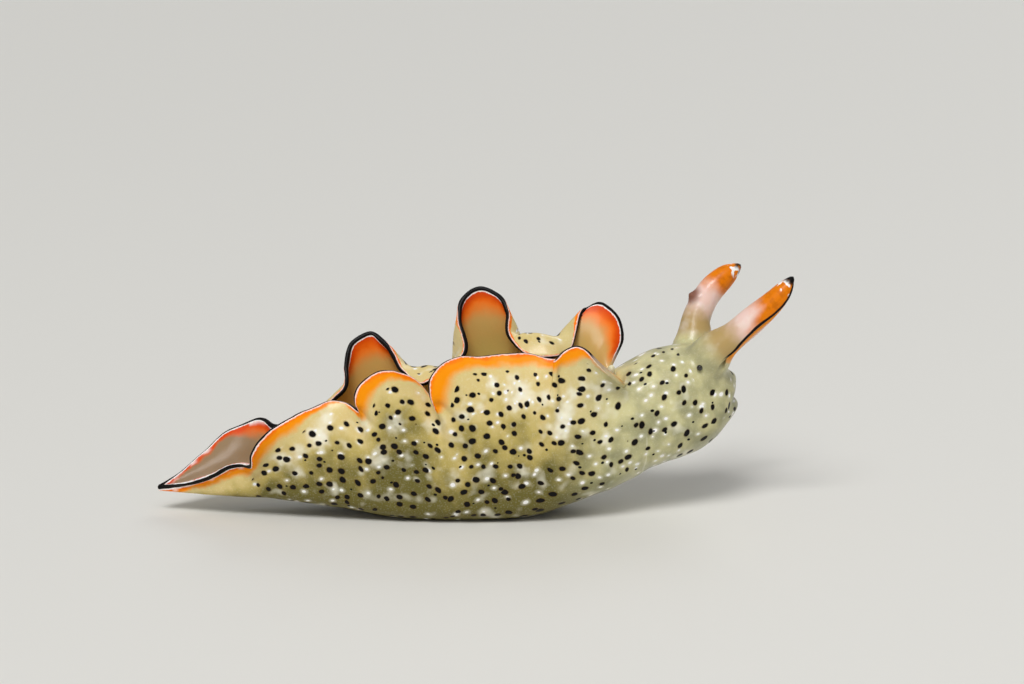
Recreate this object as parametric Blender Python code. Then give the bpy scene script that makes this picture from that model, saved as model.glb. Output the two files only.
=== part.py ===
"""A frilled, banded sea slug at life size, gliding with its head raised and turned to its left.

+X is towards the head, +Y is the animal's left and +Z is up. The origin is on the floor, on the
flat of the foot. Shapes are worked out in millimetres and become metres when a mesh is made.

The body is a row of cross-sections along a spine. Two frills, the side flaps, stand on its
shoulders. Each frill is a thin curved sheet between a root line on the body and a ruffled hem.
"""

import math
from typing import NamedTuple

import bmesh
import bpy
import numpy as np
from mathutils import Vector

MM = 0.001
GAP = 0.3


class Station(NamedTuple):
    """One cross-section of the body: where it is, and how far it reaches."""

    x: float
    y: float
    sole: float
    back: float
    half_width: float


class Hem(NamedTuple):
    """One point of a frill's hem: place along the body, distance out and height. The sheet first
    climbs from its root, by a share of the hem's own rise, swings out and leads ahead by
    distances, then bends to the hem."""

    x: float
    out: float
    up: float
    climb: float
    swing: float = 0.4
    lead: float = 0.0


class Lobe(NamedTuple):
    """One lobe of a frill: the stretch of root that it grows from, and its hem, front to rear."""

    root_front: float
    root_rear: float
    hem: tuple


# The body without its frills, from the tail tip to the nose.
SPINE = (
    Station(-23.05, 0.0, 1.55, 1.85, 0.22),
    Station(-21.0, 0.0, 1.45, 2.15, 0.85),
    Station(-18.0, 0.0, 1.30, 2.90, 1.75),
    Station(-14.5, 0.0, 1.15, 3.90, 2.60),
    Station(-10.0, 0.0, 0.60, 5.00, 3.45),
    Station(-5.0, 0.0, -0.20, 5.80, 4.05),
    Station(0.0, 0.0, -0.30, 6.20, 4.30),
    Station(4.0, 0.1, -0.05, 6.95, 4.25),
    Station(8.0, 0.4, 1.15, 9.10, 4.00),
    Station(12.0, 1.2, 2.95, 11.05, 3.70),
    Station(15.0, 2.3, 4.00, 12.40, 3.75),
    Station(17.0, 3.2, 4.90, 13.20, 3.70),
    Station(19.0, 4.2, 5.80, 14.00, 3.60),
)
SOLE_SQUARENESS = 2.6
BACK_SQUARENESS = 2.15
TAIL_TIP = -23.05
TAIL_CUT = -16.5
SHOULDER_CUT = 12.2
NECK_CUT = 13.9
NOSE = 18.15
FACE_START = 14.4
FACE_BLUNTNESS = 2.7
FOOT_DEPTH = 1.15
FOOT_SHARE = 0.45

# The root line climbs from the flank to the shoulder where the frills begin behind the neck.
RIGHT, LEFT = -1, 1
ROOT_CLIMB_START = 3.0
ROOT_CLIMB_DEGREES = {RIGHT: 40.0, LEFT: 60.0}
RIDGE_DEGREES = 12.0

FRILL_START = {RIGHT: 12.0, LEFT: 11.7}
FRILL_GROWTH = 0.6
FRILL_ROOT_THICK = 0.95
FRILL_RIM_THICK = 0.5
FRILL_EVENNESS = 0.15
FRILL_UPRIGHT = 0.75
STUB_HEIGHT = 0.7
LEAST_LOBE = 1.6

LOBES = {
    RIGHT: {
        "front": Lobe(12.0, 5.9, (
            Hem(11.1, 2.4, 9.6, 0.6),
            Hem(10.2, 3.2, 10.4, 0.6),
            Hem(9.1, 3.4, 11.35, 0.6),
            Hem(8.1, 3.2, 12.35, 0.6),
            Hem(7.1, 3.0, 12.85, 0.6),
            Hem(6.2, 3.0, 12.35, 0.65, 0.4, 0.3),
            Hem(5.75, 3.1, 11.55, 0.65, 0.3, 0.3))),
        "middle": Lobe(5.1, -2.0, (
            Hem(5.3, 2.7, 11.3, 0.6, 0.2),
            Hem(4.5, 2.35, 12.1, 0.7),
            Hem(3.2, 2.3, 12.4, 0.65),
            Hem(1.0, 2.6, 12.15, 0.6),
            Hem(-1.1, 3.0, 12.05, 0.6),
            Hem(-2.5, 3.6, 11.5, 0.6, 0.4, 0.2),
            Hem(-3.15, 4.2, 10.6, 0.65, 0.4, 0.6),
            Hem(-3.1, 4.5, 9.6, 0.7, 0.4, 0.6),
            Hem(-2.75, 4.3, 8.7, 0.7, 0.4, 0.4),
            Hem(-2.65, 3.4, 8.45, 0.55, 0.2))),
        "hind": Lobe(-2.8, -7.6, (
            Hem(-3.2, 2.7, 9.1, 0.55, 0.2),
            Hem(-4.1, 2.5, 10.1, 0.6),
            Hem(-5.4, 2.8, 10.85, 0.62),
            Hem(-6.8, 3.2, 10.95, 0.6, 0.4, 0.2),
            Hem(-8.0, 3.8, 10.3, 0.65, 0.4, 0.5),
            Hem(-8.45, 4.2, 9.3, 0.72, 0.4, 0.8),
            Hem(-8.3, 4.0, 8.5, 0.7, 0.4, 0.4),
            Hem(-8.3, 3.2, 8.2, 0.55, 0.2))),
        "rear": Lobe(-8.3, -15.6, (
            Hem(-8.9, 2.6, 8.5, 0.6, 0.2),
            Hem(-10.2, 2.3, 8.7, 0.7),
            Hem(-11.8, 2.6, 8.1, 0.62),
            Hem(-13.6, 3.0, 7.3, 0.62),
            Hem(-15.0, 3.5, 6.4, 0.65, 0.4, 0.3),
            Hem(-15.9, 3.7, 5.1, 0.7, 0.4, 0.6),
            Hem(-16.1, 3.2, 4.2, 0.8, 0.4, 0.4))),
        "tail": Lobe(-16.2, TAIL_TIP, (
            Hem(-16.7, 2.5, 4.1, 0.8),
            Hem(-17.6, 2.2, 3.9, 0.7),
            Hem(-18.8, 1.9, 3.25, 0.7),
            Hem(-20.6, 1.2, 2.45, 0.7),
            Hem(TAIL_TIP, 0.15, 1.95, 0.7))),
    },
    LEFT: {
        "front": Lobe(11.7, 6.4, (
            Hem(10.1, 1.9, 10.5, 0.7),
            Hem(10.4, 2.7, 11.2, 0.75, 0.7),
            Hem(10.6, 3.5, 12.4, 0.75, 0.8),
            Hem(10.2, 4.2, 13.7, 0.6, 0.6),
            Hem(9.0, 4.6, 14.5, 0.55, 0.6, 0.6),
            Hem(7.95, 4.2, 13.85, 0.6, 0.6, 1.2),
            Hem(7.25, 3.1, 12.85, 0.85, 1.0, 1.4),
            Hem(6.4, 1.6, 12.0, 1.05, 0.8))),
        "middle": Lobe(5.5, -1.4, (
            Hem(5.1, 0.9, 11.6, 1.25, 0.6),
            Hem(3.5, 1.1, 11.6, 1.2, 0.6),
            Hem(2.45, 2.1, 12.5, 0.9, 0.8),
            Hem(2.1, 3.6, 14.2, 0.7, 0.8),
            Hem(0.6, 4.6, 15.5, 0.55),
            Hem(-0.95, 4.1, 14.8, 0.8, 0.9),
            Hem(-1.3, 3.4, 13.8, 0.85, 1.0),
            Hem(-0.95, 2.4, 12.6, 1.0, 0.9),
            Hem(-0.8, 1.5, 11.7, 1.15, 0.8))),
        "hind": Lobe(-2.3, -9.3, (
            Hem(-2.1, 0.3, 10.6, 1.25, 0.6),
            Hem(-4.0, 0.3, 9.5, 1.3, 0.6),
            Hem(-5.4, 1.5, 10.1, 1.05, 0.9),
            Hem(-6.5, 3.2, 11.6, 0.75, 0.8),
            Hem(-7.8, 4.0, 12.4, 0.55),
            Hem(-9.1, 3.6, 11.7, 0.7, 0.7),
            Hem(-9.5, 2.6, 10.3, 0.9, 0.9),
            Hem(-9.6, 1.3, 8.9, 1.05, 0.8))),
        "rear": Lobe(-10.1, -16.2, (
            Hem(-10.4, 0.9, 8.1, 1.1),
            Hem(-12.8, 1.0, 6.4, 1.0),
            Hem(-14.8, 1.9, 5.9, 0.75),
            Hem(-16.3, 2.7, 6.1, 0.65))),
        "tail": Lobe(-17.0, TAIL_TIP, (
            Hem(-18.0, 2.8, 5.3, 0.65),
            Hem(-20.0, 2.2, 3.7, 0.65),
            Hem(-21.8, 1.0, 2.5, 0.7),
            Hem(TAIL_TIP, 0.15, 1.95, 0.7))),
    },
}
SIDE_NAMES = {RIGHT: "right", LEFT: "left"}
LOBE_NAMES = ("front", "middle", "hind", "rear")


class Feeler(NamedTuple):
    """A rolled feeler on the head: the line it follows, its width along it, and its groove."""

    path: tuple
    radii: tuple
    groove: tuple


FEELERS = {
    RIGHT: Feeler(
        path=((16.0, 1.6, 9.8), (17.3, 0.9, 11.7), (18.7, 0.6, 12.9), (20.1, 0.3, 14.2),
              (21.6, 0.1, 15.9), (22.75, 0.0, 17.45)),
        radii=(1.55, 1.3, 1.05, 1.0, 0.8, 0.42),
        groove=(0.35, -0.75, -0.55)),
    LEFT: Feeler(
        path=((15.7, 3.9, 9.8), (16.0, 4.7, 11.7), (16.15, 5.3, 13.3), (16.9, 5.8, 14.9),
              (18.2, 6.2, 16.2), (19.55, 6.4, 17.1)),
        radii=(1.5, 1.25, 1.05, 1.0, 0.85, 0.45),
        groove=(0.1, 0.95, -0.3)),
}
FEELER_WALL = 0.5
FEELER_SLIT_DEGREES = 17.0
FEELER_MOUTH_DEGREES = 52.0
FEELER_ROLL = 0.12
FEELER_SOLID_SHARE = 0.18

EYE_RADIUS = 0.3
EYE_STATION = 15.7
EYE_DEGREES = 38.0

LIP_SIZE = (0.85, 0.8, 1.1)
LIP_APART = 0.96
LIP_DROP = 1.7
MOUTH_WIDTH = 0.36

HEART_SIZE = (3.0, 1.5, 1.35)
HEART_STATION = 4.8

# Numbers of facets.
BELLY_STEPS = 7
BACK_STEPS = 5
FRILL_STEPS = 6
RIM_STEPS = 3
FEELER_RINGS = 14
FEELER_STEPS = 13
GROOVE_STEPS = 6


def smooth_step(t):
    """0 below 0, 1 above 1, with an even rise between."""
    t = np.clip(t, 0.0, 1.0)
    return t * t * (3 - 2 * t)


def through(knots, values, at):
    """A smooth curve through values at rising knots, read at each place in at."""
    knots = np.asarray(knots, float)
    values = np.asarray(values, float)
    at = np.clip(np.asarray(at, float), knots[0], knots[-1])
    runs = np.diff(knots)[:, None]
    slopes = np.diff(values.reshape(len(knots), -1), axis=0) / runs
    inner = (slopes[:-1] * runs[1:] + slopes[1:] * runs[:-1]) / (runs[1:] + runs[:-1])
    tangents = np.vstack([slopes[:1], inner, slopes[-1:]])
    flat = values.reshape(len(knots), -1)
    i = np.clip(np.searchsorted(knots, at, side="right") - 1, 0, len(knots) - 2)
    run = (knots[i + 1] - knots[i])[:, None]
    t = (at - knots[i])[:, None] / run
    found = (
        flat[i] * (2 * t**3 - 3 * t**2 + 1)
        + tangents[i] * run * (t**3 - 2 * t**2 + t)
        + flat[i + 1] * (3 * t**2 - 2 * t**3)
        + tangents[i + 1] * run * (t**3 - t**2)
    )
    return found.reshape(len(at), *values.shape[1:])


def unit(vectors):
    """The vectors at length one."""
    return vectors / np.maximum(np.linalg.norm(vectors, axis=-1, keepdims=True), 1e-9)


class Spine:
    """The body's sections at a set of places along X: centre, directions and half sizes."""

    def __init__(self, xs):
        self.xs = np.asarray(xs, float)
        rows = through([s.x for s in SPINE], [s[1:] for s in SPINE], self.xs)
        step = 0.05
        self.centre = self.line(self.xs)
        tangent = unit(self.line(self.xs + step) - self.line(self.xs - step))
        up = np.array([0.0, 0.0, 1.0])
        self.left = unit(np.cross(up, tangent))
        self.up = np.cross(tangent, self.left)
        face = np.clip((self.xs - FACE_START) / (NOSE - FACE_START), 0, 1)
        narrow = (1 - face**FACE_BLUNTNESS) ** (1 / FACE_BLUNTNESS)
        self.half_width = rows[:, 3] * narrow
        self.half_height = (rows[:, 2] - rows[:, 1]) / 2 * self.up[:, 2] * narrow

    @staticmethod
    def line(xs):
        """The middle of each section."""
        rows = through([s.x for s in SPINE], [s[1:4] for s in SPINE], xs)
        return np.column_stack([xs, rows[:, 0], (rows[:, 1] + rows[:, 2]) / 2])

    def place(self, out, rise, side):
        """Points from a distance out to one side and a rise above the centre."""
        sideways = self.left * side
        return (
            self.centre[:, None]
            + sideways[:, None] * np.asarray(out)[..., None]
            + self.up[:, None] * np.asarray(rise)[..., None]
        )

    def outline(self, degrees, grow=0.0):
        """Distance out and rise of the plain section. -90 is the sole, 0 the flank, 90 the back."""
        angle = np.radians(degrees)
        squareness = np.where(angle < 0, SOLE_SQUARENESS, BACK_SQUARENESS)
        out = (self.half_width[:, None] + grow) * np.cos(angle) ** (2 / squareness)
        rise = (self.half_height[:, None] + grow) * np.sign(angle)
        return out, rise * np.abs(np.sin(angle)) ** (2 / squareness)

    def angle_of_foot(self, gap=0.0):
        """The outline's angle, in degrees, where the foot ends, or a gap above that."""
        depth = np.minimum(FOOT_DEPTH, FOOT_SHARE * self.half_height) + gap
        share = np.clip(1 - depth / self.half_height, 0, 1)
        return -np.degrees(np.arcsin(share ** (SOLE_SQUARENESS / 2)))


def root_degrees(side, xs):
    """Where on the outline the frill's outer face leaves the body."""
    t = (xs - ROOT_CLIMB_START) / (FRILL_START[side] - ROOT_CLIMB_START)
    return ROOT_CLIMB_DEGREES[side] * smooth_step(t)


class Frill:
    """One side flap, as a curved sheet with a thickness, read at places along its root."""

    def __init__(self, side, xs):
        self.side = side
        self.spine = Spine(xs)
        self.root, self.bend, self.hem = self.guides(xs)
        step = FRILL_EVENNESS
        ahead, behind = self.guides(xs + step), self.guides(xs - step)
        self.slopes = [a - b for a, b in zip(ahead, behind)]
        slender = self.spine.half_width
        self.root_thick = np.minimum(FRILL_ROOT_THICK, 0.5 * slender)
        self.rim_thick = np.minimum(FRILL_RIM_THICK, 0.35 * slender)

    @classmethod
    def hem_table(cls, side):
        """The place on the root line that each hem point hangs on, and the points."""
        places, points = [], []
        for lobe in LOBES[side].values():
            hem = np.array(lobe.hem)
            runs = np.linalg.norm(np.diff(hem[:, :3], axis=0), axis=1)
            share = np.concatenate([[0], np.cumsum(runs)]) / runs.sum()
            places.extend(lobe.root_front + (lobe.root_rear - lobe.root_front) * share)
            points.extend(hem)
        return np.array(places)[::-1], np.array(points)[::-1]

    def guides(self, xs):
        """Root point, bending point and hem point of the sheet at each place."""
        spine = Spine(xs)
        degrees = root_degrees(self.side, spine.xs)[:, None]
        step = 1.0
        out, rise = spine.outline(degrees)
        out_next, rise_next = spine.outline(degrees + step)
        skin = spine.place(out, rise, self.side)[:, 0]
        climb = unit(spine.place(out_next - out, rise_next - rise, self.side)[:, 0] - spine.centre)
        climb = unit(climb * (1 - FRILL_UPRIGHT) + np.array([0, 0, FRILL_UPRIGHT]))
        ahead = np.cross(spine.left, spine.up)
        outward = unit(np.cross(climb, ahead)) * self.side
        thick = np.minimum(FRILL_ROOT_THICK, 0.5 * spine.half_width)[:, None]
        root = skin - outward * thick / 2
        places, points = self.hem_table(self.side)
        table = through(places, points, spine.xs)
        hem = np.column_stack([table[:, 0], table[:, 1] * self.side, table[:, 2]])
        rise_of_hem = np.linalg.norm(hem - root, axis=1, keepdims=True)
        small = np.minimum(1, rise_of_hem / 4)
        bend = root + climb * rise_of_hem * table[:, 3:4] + outward * table[:, 4:5] * small
        bend[:, 0] += table[:, 5]
        return root, bend, hem

    def weigh(self, guides, v):
        """The three guides, weighed at v from 0 at the root to 1 at the hem."""
        root, bend, hem = (g[:, None] for g in guides)
        v = v[..., None]
        return root * (1 - v) ** 2 + bend * 2 * v * (1 - v) + hem * v**2

    def rise(self, v):
        """The direction from root to hem in the sheet at v."""
        v = v[..., None]
        lower = (self.bend - self.root)[:, None]
        upper = (self.hem - self.bend)[:, None]
        return unit(lower * (1 - v) + upper * v)

    def face(self, v, inner):
        """Points on the outer or the inner face at v, one row for each place."""
        forward = self.weigh(self.slopes, v)
        normal = unit(np.cross(forward, self.rise(v))) * -self.side
        swell = self.rim_thick + (self.root_thick - self.rim_thick) * (1 - v.T) ** 2
        half = (swell.T / 2)[..., None] * (-1 if inner else 1)
        return self.weigh((self.root, self.bend, self.hem), v) + normal * half

    def rim(self):
        """Points round the hem's edge, from the outer face to the inner one."""
        one = np.ones((len(self.hem), 1))
        outer, inner = self.face(one, False), self.face(one, True)
        middle, across = (outer + inner) / 2, (outer - inner) / 2
        lift = self.rise(one) * (self.rim_thick / 2)[:, None, None]
        turns = np.radians(np.linspace(0, 180, RIM_STEPS + 2)[1:-1])
        return middle + across * np.cos(turns)[:, None] + lift * np.sin(turns)[:, None]

    def length(self):
        """How far the sheet reaches from its root at each place."""
        v = np.linspace(0, 1, 9)[None] * np.ones((len(self.hem), 1))
        line = self.weigh((self.root, self.bend, self.hem), v)
        return np.linalg.norm(np.diff(line, axis=1), axis=2).sum(axis=1)


class Half:
    """One side's outline, from the sole or the foot's cut to the middle of the back."""

    def __init__(self, side, xs, start=-90.0, low=0.0, high=1.0, steps=FRILL_STEPS):
        spine = Spine(xs)
        start = np.broadcast_to(start, spine.xs.shape)
        root = root_degrees(side, spine.xs)
        share = np.linspace(0, 1, BELLY_STEPS)
        belly = start[:, None] + (root - start)[:, None] * share
        belly[:, -1] = root
        self.belly = spine.place(*spine.outline(belly), side)[:, :-1]
        frill = Frill(side, spine.xs)
        low, high = (np.broadcast_to(e, spine.xs.shape)[:, None] for e in (low, high))
        v = low + (high - low) * np.linspace(0, 1, steps)
        outer, inner = frill.face(v, False), frill.face(v, True)[:, ::-1]
        parts = [outer, inner] if np.all(high < 1) else [outer, frill.rim(), inner]
        sheet = np.concatenate(parts, axis=1)
        valley = inner[:, -1] - spine.centre
        valley_out = (valley * spine.left * side).sum(axis=1)[:, None]
        valley_rise = (valley * spine.up).sum(axis=1)[:, None]
        across = np.linspace(1, 0, BACK_STEPS)[1:]
        swell = np.cos(across * math.pi / 2) ** 2
        rise = valley_rise + (spine.half_height[:, None] - valley_rise) * swell
        back = spine.place(valley_out * across, rise, side)
        count = sheet.shape[1] + BACK_STEPS - 1
        ridge = (root + RIDGE_DEGREES)[:, None]
        over_ridge = root[:, None] + RIDGE_DEGREES * np.linspace(0, 1, sheet.shape[1])
        over_back = ridge + (90 - ridge) * np.linspace(0, 1, BACK_STEPS)[1:]
        plain_angles = np.concatenate([over_ridge, over_back], axis=1)
        plain = spine.place(*spine.outline(plain_angles), side)
        shown = smooth_step((FRILL_START[side] - spine.xs) / FRILL_GROWTH)[:, None, None]
        upper = plain + (np.concatenate([sheet, back], axis=1) - plain) * shown
        self.line = np.concatenate([self.belly, upper], axis=1)
        self.line[..., 2] = np.maximum(self.line[..., 2], 0.0)
        self.sheet_first = self.belly.shape[1]
        self.sheet_count = sheet.shape[1]
        self.count = count + self.sheet_first


def closed_rings(right, left):
    """Whole sections: up the right side, over the back and down the left side."""
    return np.concatenate([right.line, left.line[:, ::-1][:, 1:]], axis=1)


def slant_flags(right, left):
    """Which facets of a ring slant the other way, so that both faces of a sheet match."""
    flags = np.zeros(right.count + left.count - 1, bool)
    middle = right.sheet_first + right.sheet_count // 2
    flags[middle:right.count - 1] = True
    flags[right.count - 1 + (left.count - 1 - middle):] = True
    return flags


def section_cap(right, left):
    """Polygons that close a whole section: the body's own, and strips across each sheet."""
    total = right.count + left.count - 1
    first, last = right.sheet_first, right.sheet_first + right.sheet_count - 1
    strips = [(first + i, first + i + 1, last - i - 1, last - i)
              for i in range((right.sheet_count - 1) // 2)]
    if right.sheet_count % 2:
        middle = first + right.sheet_count // 2
        strips = [s if s[1] != s[2] else (s[0], middle, s[3]) for s in strips]
    mirrored = [tuple(total - 1 - i for i in strip) for strip in strips]
    body = [i for i in range(total)
            if not first < i < last and not first < total - 1 - i < last]
    return [tuple(body), *strips, *mirrored]


def material(name, colour, roughness):
    """A plain moist skin finish."""
    made = bpy.data.materials.new(name)
    made.use_nodes = True
    shader = made.node_tree.nodes["Principled BSDF"]
    shader.inputs["Base Color"].default_value = (*colour, 1.0)
    shader.inputs["Roughness"].default_value = roughness
    shader.inputs["Metallic"].default_value = 0.0
    made.diffuse_color = (*colour, 1.0)
    return made


def finish_mesh(bm, name, collection, finish):
    """Makes the object for a bmesh, with its doubles merged and its faces pointing out."""
    bmesh.ops.remove_doubles(bm, verts=bm.verts, dist=1e-7)
    bmesh.ops.dissolve_degenerate(bm, edges=bm.edges, dist=1e-8)
    bmesh.ops.triangulate(bm, faces=[f for f in bm.faces if len(f.verts) > 3])
    bmesh.ops.recalc_face_normals(bm, faces=bm.faces)
    mesh = bpy.data.meshes.new(name)
    bm.to_mesh(mesh)
    bm.free()
    mesh.materials.append(finish)
    made = bpy.data.objects.new(name, mesh)
    collection.objects.link(made)
    return made


def loft(name, rings, slants, start_cap, end_cap, collection, finish):
    """A closed body through rings of points in millimetres, with the caps' polygons."""
    bm = bmesh.new()
    rows = [[bm.verts.new(Vector(p) * MM) for p in ring] for ring in rings]
    count = len(rows[0])
    for near, far in zip(rows, rows[1:]):
        for j in range(count):
            k = (j + 1) % count
            a, b, c, d = near[j], near[k], far[k], far[j]
            pair = ((a, b, d), (b, c, d)) if slants[j] else ((a, b, c), (a, c, d))
            for corners in pair:
                bm.faces.new(corners)
    for row, cap in ((rows[0], start_cap), (rows[-1], end_cap)):
        for polygon in cap:
            bm.faces.new([row[i] for i in polygon])
    return finish_mesh(bm, name, collection, finish)


def frilled_part(name, xs, collection, finish):
    """A length of the whole animal, with the frills that it carries."""
    halves = Half(RIGHT, xs), Half(LEFT, xs)
    cap = section_cap(*halves)
    return loft(name, closed_rings(*halves), slant_flags(*halves), cap, cap, collection, finish)


def stubbed_halves(xs, start):
    """Both sides' outlines with the frills cut down to stubs."""
    tops = [np.minimum(STUB_HEIGHT / Frill(side, xs).length(), 0.99) for side in (RIGHT, LEFT)]
    return [Half(side, xs, start, 0.0, top, steps=2) for side, top in zip((RIGHT, LEFT), tops)]


def upper_part(name, xs, collection, finish):
    """A length of the body above the foot, with stubs for the frills to stand on."""
    halves = stubbed_halves(xs, Spine(xs).angle_of_foot(GAP))
    cap = section_cap(*halves)
    return loft(name, closed_rings(*halves), slant_flags(*halves), cap, cap, collection, finish)


def foot(xs, collection, finish):
    """The sole, from under the tail's root to the front of the neck."""
    spine = Spine(xs)
    edge = spine.angle_of_foot()
    sweep = edge[:, None] + (-90 - edge)[:, None] * np.linspace(0, 1, BELLY_STEPS)
    right = spine.place(*spine.outline(sweep), RIGHT)
    left = spine.place(*spine.outline(sweep), LEFT)[:, ::-1][:, 1:]
    rings = np.concatenate([right, left], axis=1)
    rings[..., 2] = np.maximum(rings[..., 2], 0.0)
    count = rings.shape[1]
    cap = [tuple(range(count))]
    return loft("foot", rings, np.zeros(count, bool), cap, cap, collection, finish)


def lobe_places(side, front, rear, spacing):
    """Places along the root, close together where the hem runs fast."""
    fine = np.linspace(front, rear, 400)
    hem = Frill(side, fine).hem
    runs = np.linalg.norm(np.diff(hem, axis=0), axis=1) + 0.4 * np.abs(np.diff(fine))
    travelled = np.concatenate([[0], np.cumsum(runs)])
    count = max(4, round(travelled[-1] / spacing))
    return np.interp(np.linspace(0, travelled[-1], count), travelled, fine)


def lobe_part(side, name, collection, finish):
    """One lobe of a frill, standing on the body's stub."""
    lobes = LOBES[side]
    names = list(lobes)
    index = names.index(name)
    if index:
        front = (lobes[names[index - 1]].root_rear + lobes[name].root_front) / 2 - GAP / 2
    else:
        places = np.linspace(FRILL_START[side], FRILL_START[side] - 3, 60)
        tall = Frill(side, places).length() > LEAST_LOBE
        front = min(places[np.argmax(tall)], FRILL_START[side] - FRILL_GROWTH - GAP)
    if name == LOBE_NAMES[-1]:
        rear = TAIL_CUT + GAP / 2
    else:
        rear = (lobes[name].root_rear + lobes[names[index + 1]].root_front) / 2 + GAP / 2
    xs = lobe_places(side, front, rear, 0.75)
    frill = Frill(side, xs)
    low = (STUB_HEIGHT + GAP) / frill.length()[:, None]
    v = low + (1 - low) * np.linspace(0, 1, FRILL_STEPS)
    rings = np.concatenate([frill.face(v, False), frill.rim(), frill.face(v, True)[:, ::-1]], axis=1)
    count = rings.shape[1]
    slants = np.arange(count) >= count // 2
    cap = [(i, i + 1, count - 2 - i, count - 1 - i) for i in range(count // 2 - 1)]
    middle = count // 2
    if count % 2:
        cap.append((middle - 1, middle, middle + 1))
    title = f"parapodium_{SIDE_NAMES[side]}_{name}"
    return loft(title, rings, slants, cap, cap, collection, finish)


def plain_body(name, xs, grow, collection, finish):
    """The body's plain sections, grown by a gap: a cutter for what stands on it."""
    spine = Spine(xs)
    sweep = np.linspace(-90, 90, 15)[None] * np.ones((len(xs), 1))
    right = spine.place(*spine.outline(sweep, grow), RIGHT)
    left = spine.place(*spine.outline(sweep, grow), LEFT)[:, ::-1][:, 1:-1]
    rings = np.concatenate([right, left], axis=1)
    count = rings.shape[1]
    cap = [tuple(range(count))]
    return loft(name, rings, np.zeros(count, bool), cap, cap, collection, finish)


def feeler_rings(feeler):
    """Rings of a feeler: a round stem whose upper part is a roll with an open groove."""
    knots = np.linspace(0, 1, len(feeler.path))
    along = 1 - (1 - np.linspace(0, 1, FEELER_RINGS)) ** 1.25
    line = through(knots, feeler.path, along)
    tangent = unit(np.gradient(line, along, axis=0))
    radius = through(knots, feeler.radii, along)
    tip = np.clip((along - 0.86) / 0.14, 0, 1)
    radius = radius * np.sqrt(np.maximum(1 - tip**2, 0.02))
    facing = np.array(feeler.groove)
    toward = unit(facing - tangent * (tangent @ facing)[:, None])
    beside = np.cross(tangent, toward)
    depth = smooth_step((along - FEELER_SOLID_SHARE) / 0.2) * smooth_step((1 - along) / 0.1)
    slit = math.radians(FEELER_SLIT_DEGREES)
    wall = np.linspace(slit, 2 * math.pi - slit, FEELER_STEPS)
    swell = 1 + FEELER_ROLL * (wall / math.pi - 1) * depth[:, None]
    outer = swell[..., None] * np.stack([np.cos(wall), np.sin(wall)], axis=-1)
    lip = np.linspace(-slit, slit, GROOVE_STEPS + 2)[1:-1]
    on_rim = np.stack([np.cos(lip), np.sin(lip)], axis=-1)
    hollow = np.maximum(1 - FEELER_WALL / np.maximum(radius, 0.6), 0.15)
    mouth = math.radians(FEELER_MOUTH_DEGREES)
    turn = np.linspace(-mouth, mouth - 2 * math.pi, GROOVE_STEPS)
    inside = hollow[:, None, None] * np.stack([np.cos(turn), np.sin(turn)], axis=-1)
    groove = on_rim + (inside - on_rim) * depth[:, None, None]
    shape = np.concatenate([outer, groove], axis=1) * radius[:, None, None]
    return line[:, None] + toward[:, None] * shape[..., :1] + beside[:, None] * shape[..., 1:]


def boolean(target, operation, others, holder):
    """Joins or cuts target with closed meshes, applies it and removes them."""
    for other in others:
        for owner in list(other.users_collection):
            owner.objects.unlink(other)
        holder.objects.link(other)
    modifier = target.modifiers.new("Shape", "BOOLEAN")
    modifier.operation = operation
    modifier.operand_type = "COLLECTION"
    modifier.collection = holder
    modifier.solver = "EXACT"
    graph = bpy.context.evaluated_depsgraph_get()
    mesh = bpy.data.meshes.new_from_object(target.evaluated_get(graph))
    target.modifiers.remove(modifier)
    target.data = mesh
    for other in others:
        bpy.data.objects.remove(other)


def keep_largest(target):
    """Leaves only the largest closed surface of a mesh."""
    bm = bmesh.new()
    bm.from_mesh(target.data)
    bmesh.ops.remove_doubles(bm, verts=bm.verts, dist=1e-7)
    left, islands = set(bm.faces), []
    while left:
        island, front = set(), [left.pop()]
        while front:
            face = front.pop()
            island.add(face)
            for edge in face.edges:
                for other in edge.link_faces:
                    if other in left:
                        left.discard(other)
                        front.append(other)
        islands.append(island)
    islands.sort(key=lambda faces: sum(f.calc_area() for f in faces))
    for island in islands[:-1]:
        bmesh.ops.delete(bm, geom=list(island), context="FACES")
    bmesh.ops.triangulate(bm, faces=bm.faces)
    bmesh.ops.recalc_face_normals(bm, faces=bm.faces)
    bm.to_mesh(target.data)
    bm.free()


def ball(name, centre, sizes, axes, collection, finish, segments=16, rings=10):
    """An ellipsoid with its own axes, in millimetres."""
    bm = bmesh.new()
    bmesh.ops.create_uvsphere(bm, u_segments=segments, v_segments=rings, radius=1.0)
    for vert in bm.verts:
        place = sum((Vector(a) * (c * s) for a, c, s in zip(axes, vert.co, sizes)), Vector(centre))
        vert.co = place * MM
    return finish_mesh(bm, name, collection, finish)


def slab(name, centre, sizes, axes, collection, finish):
    """A box with its own axes, in millimetres."""
    bm = bmesh.new()
    bmesh.ops.create_cube(bm, size=1.0)
    for vert in bm.verts:
        place = sum((Vector(a) * (c * s) for a, c, s in zip(axes, vert.co, sizes)), Vector(centre))
        vert.co = place * MM
    return finish_mesh(bm, name, collection, finish)


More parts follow.
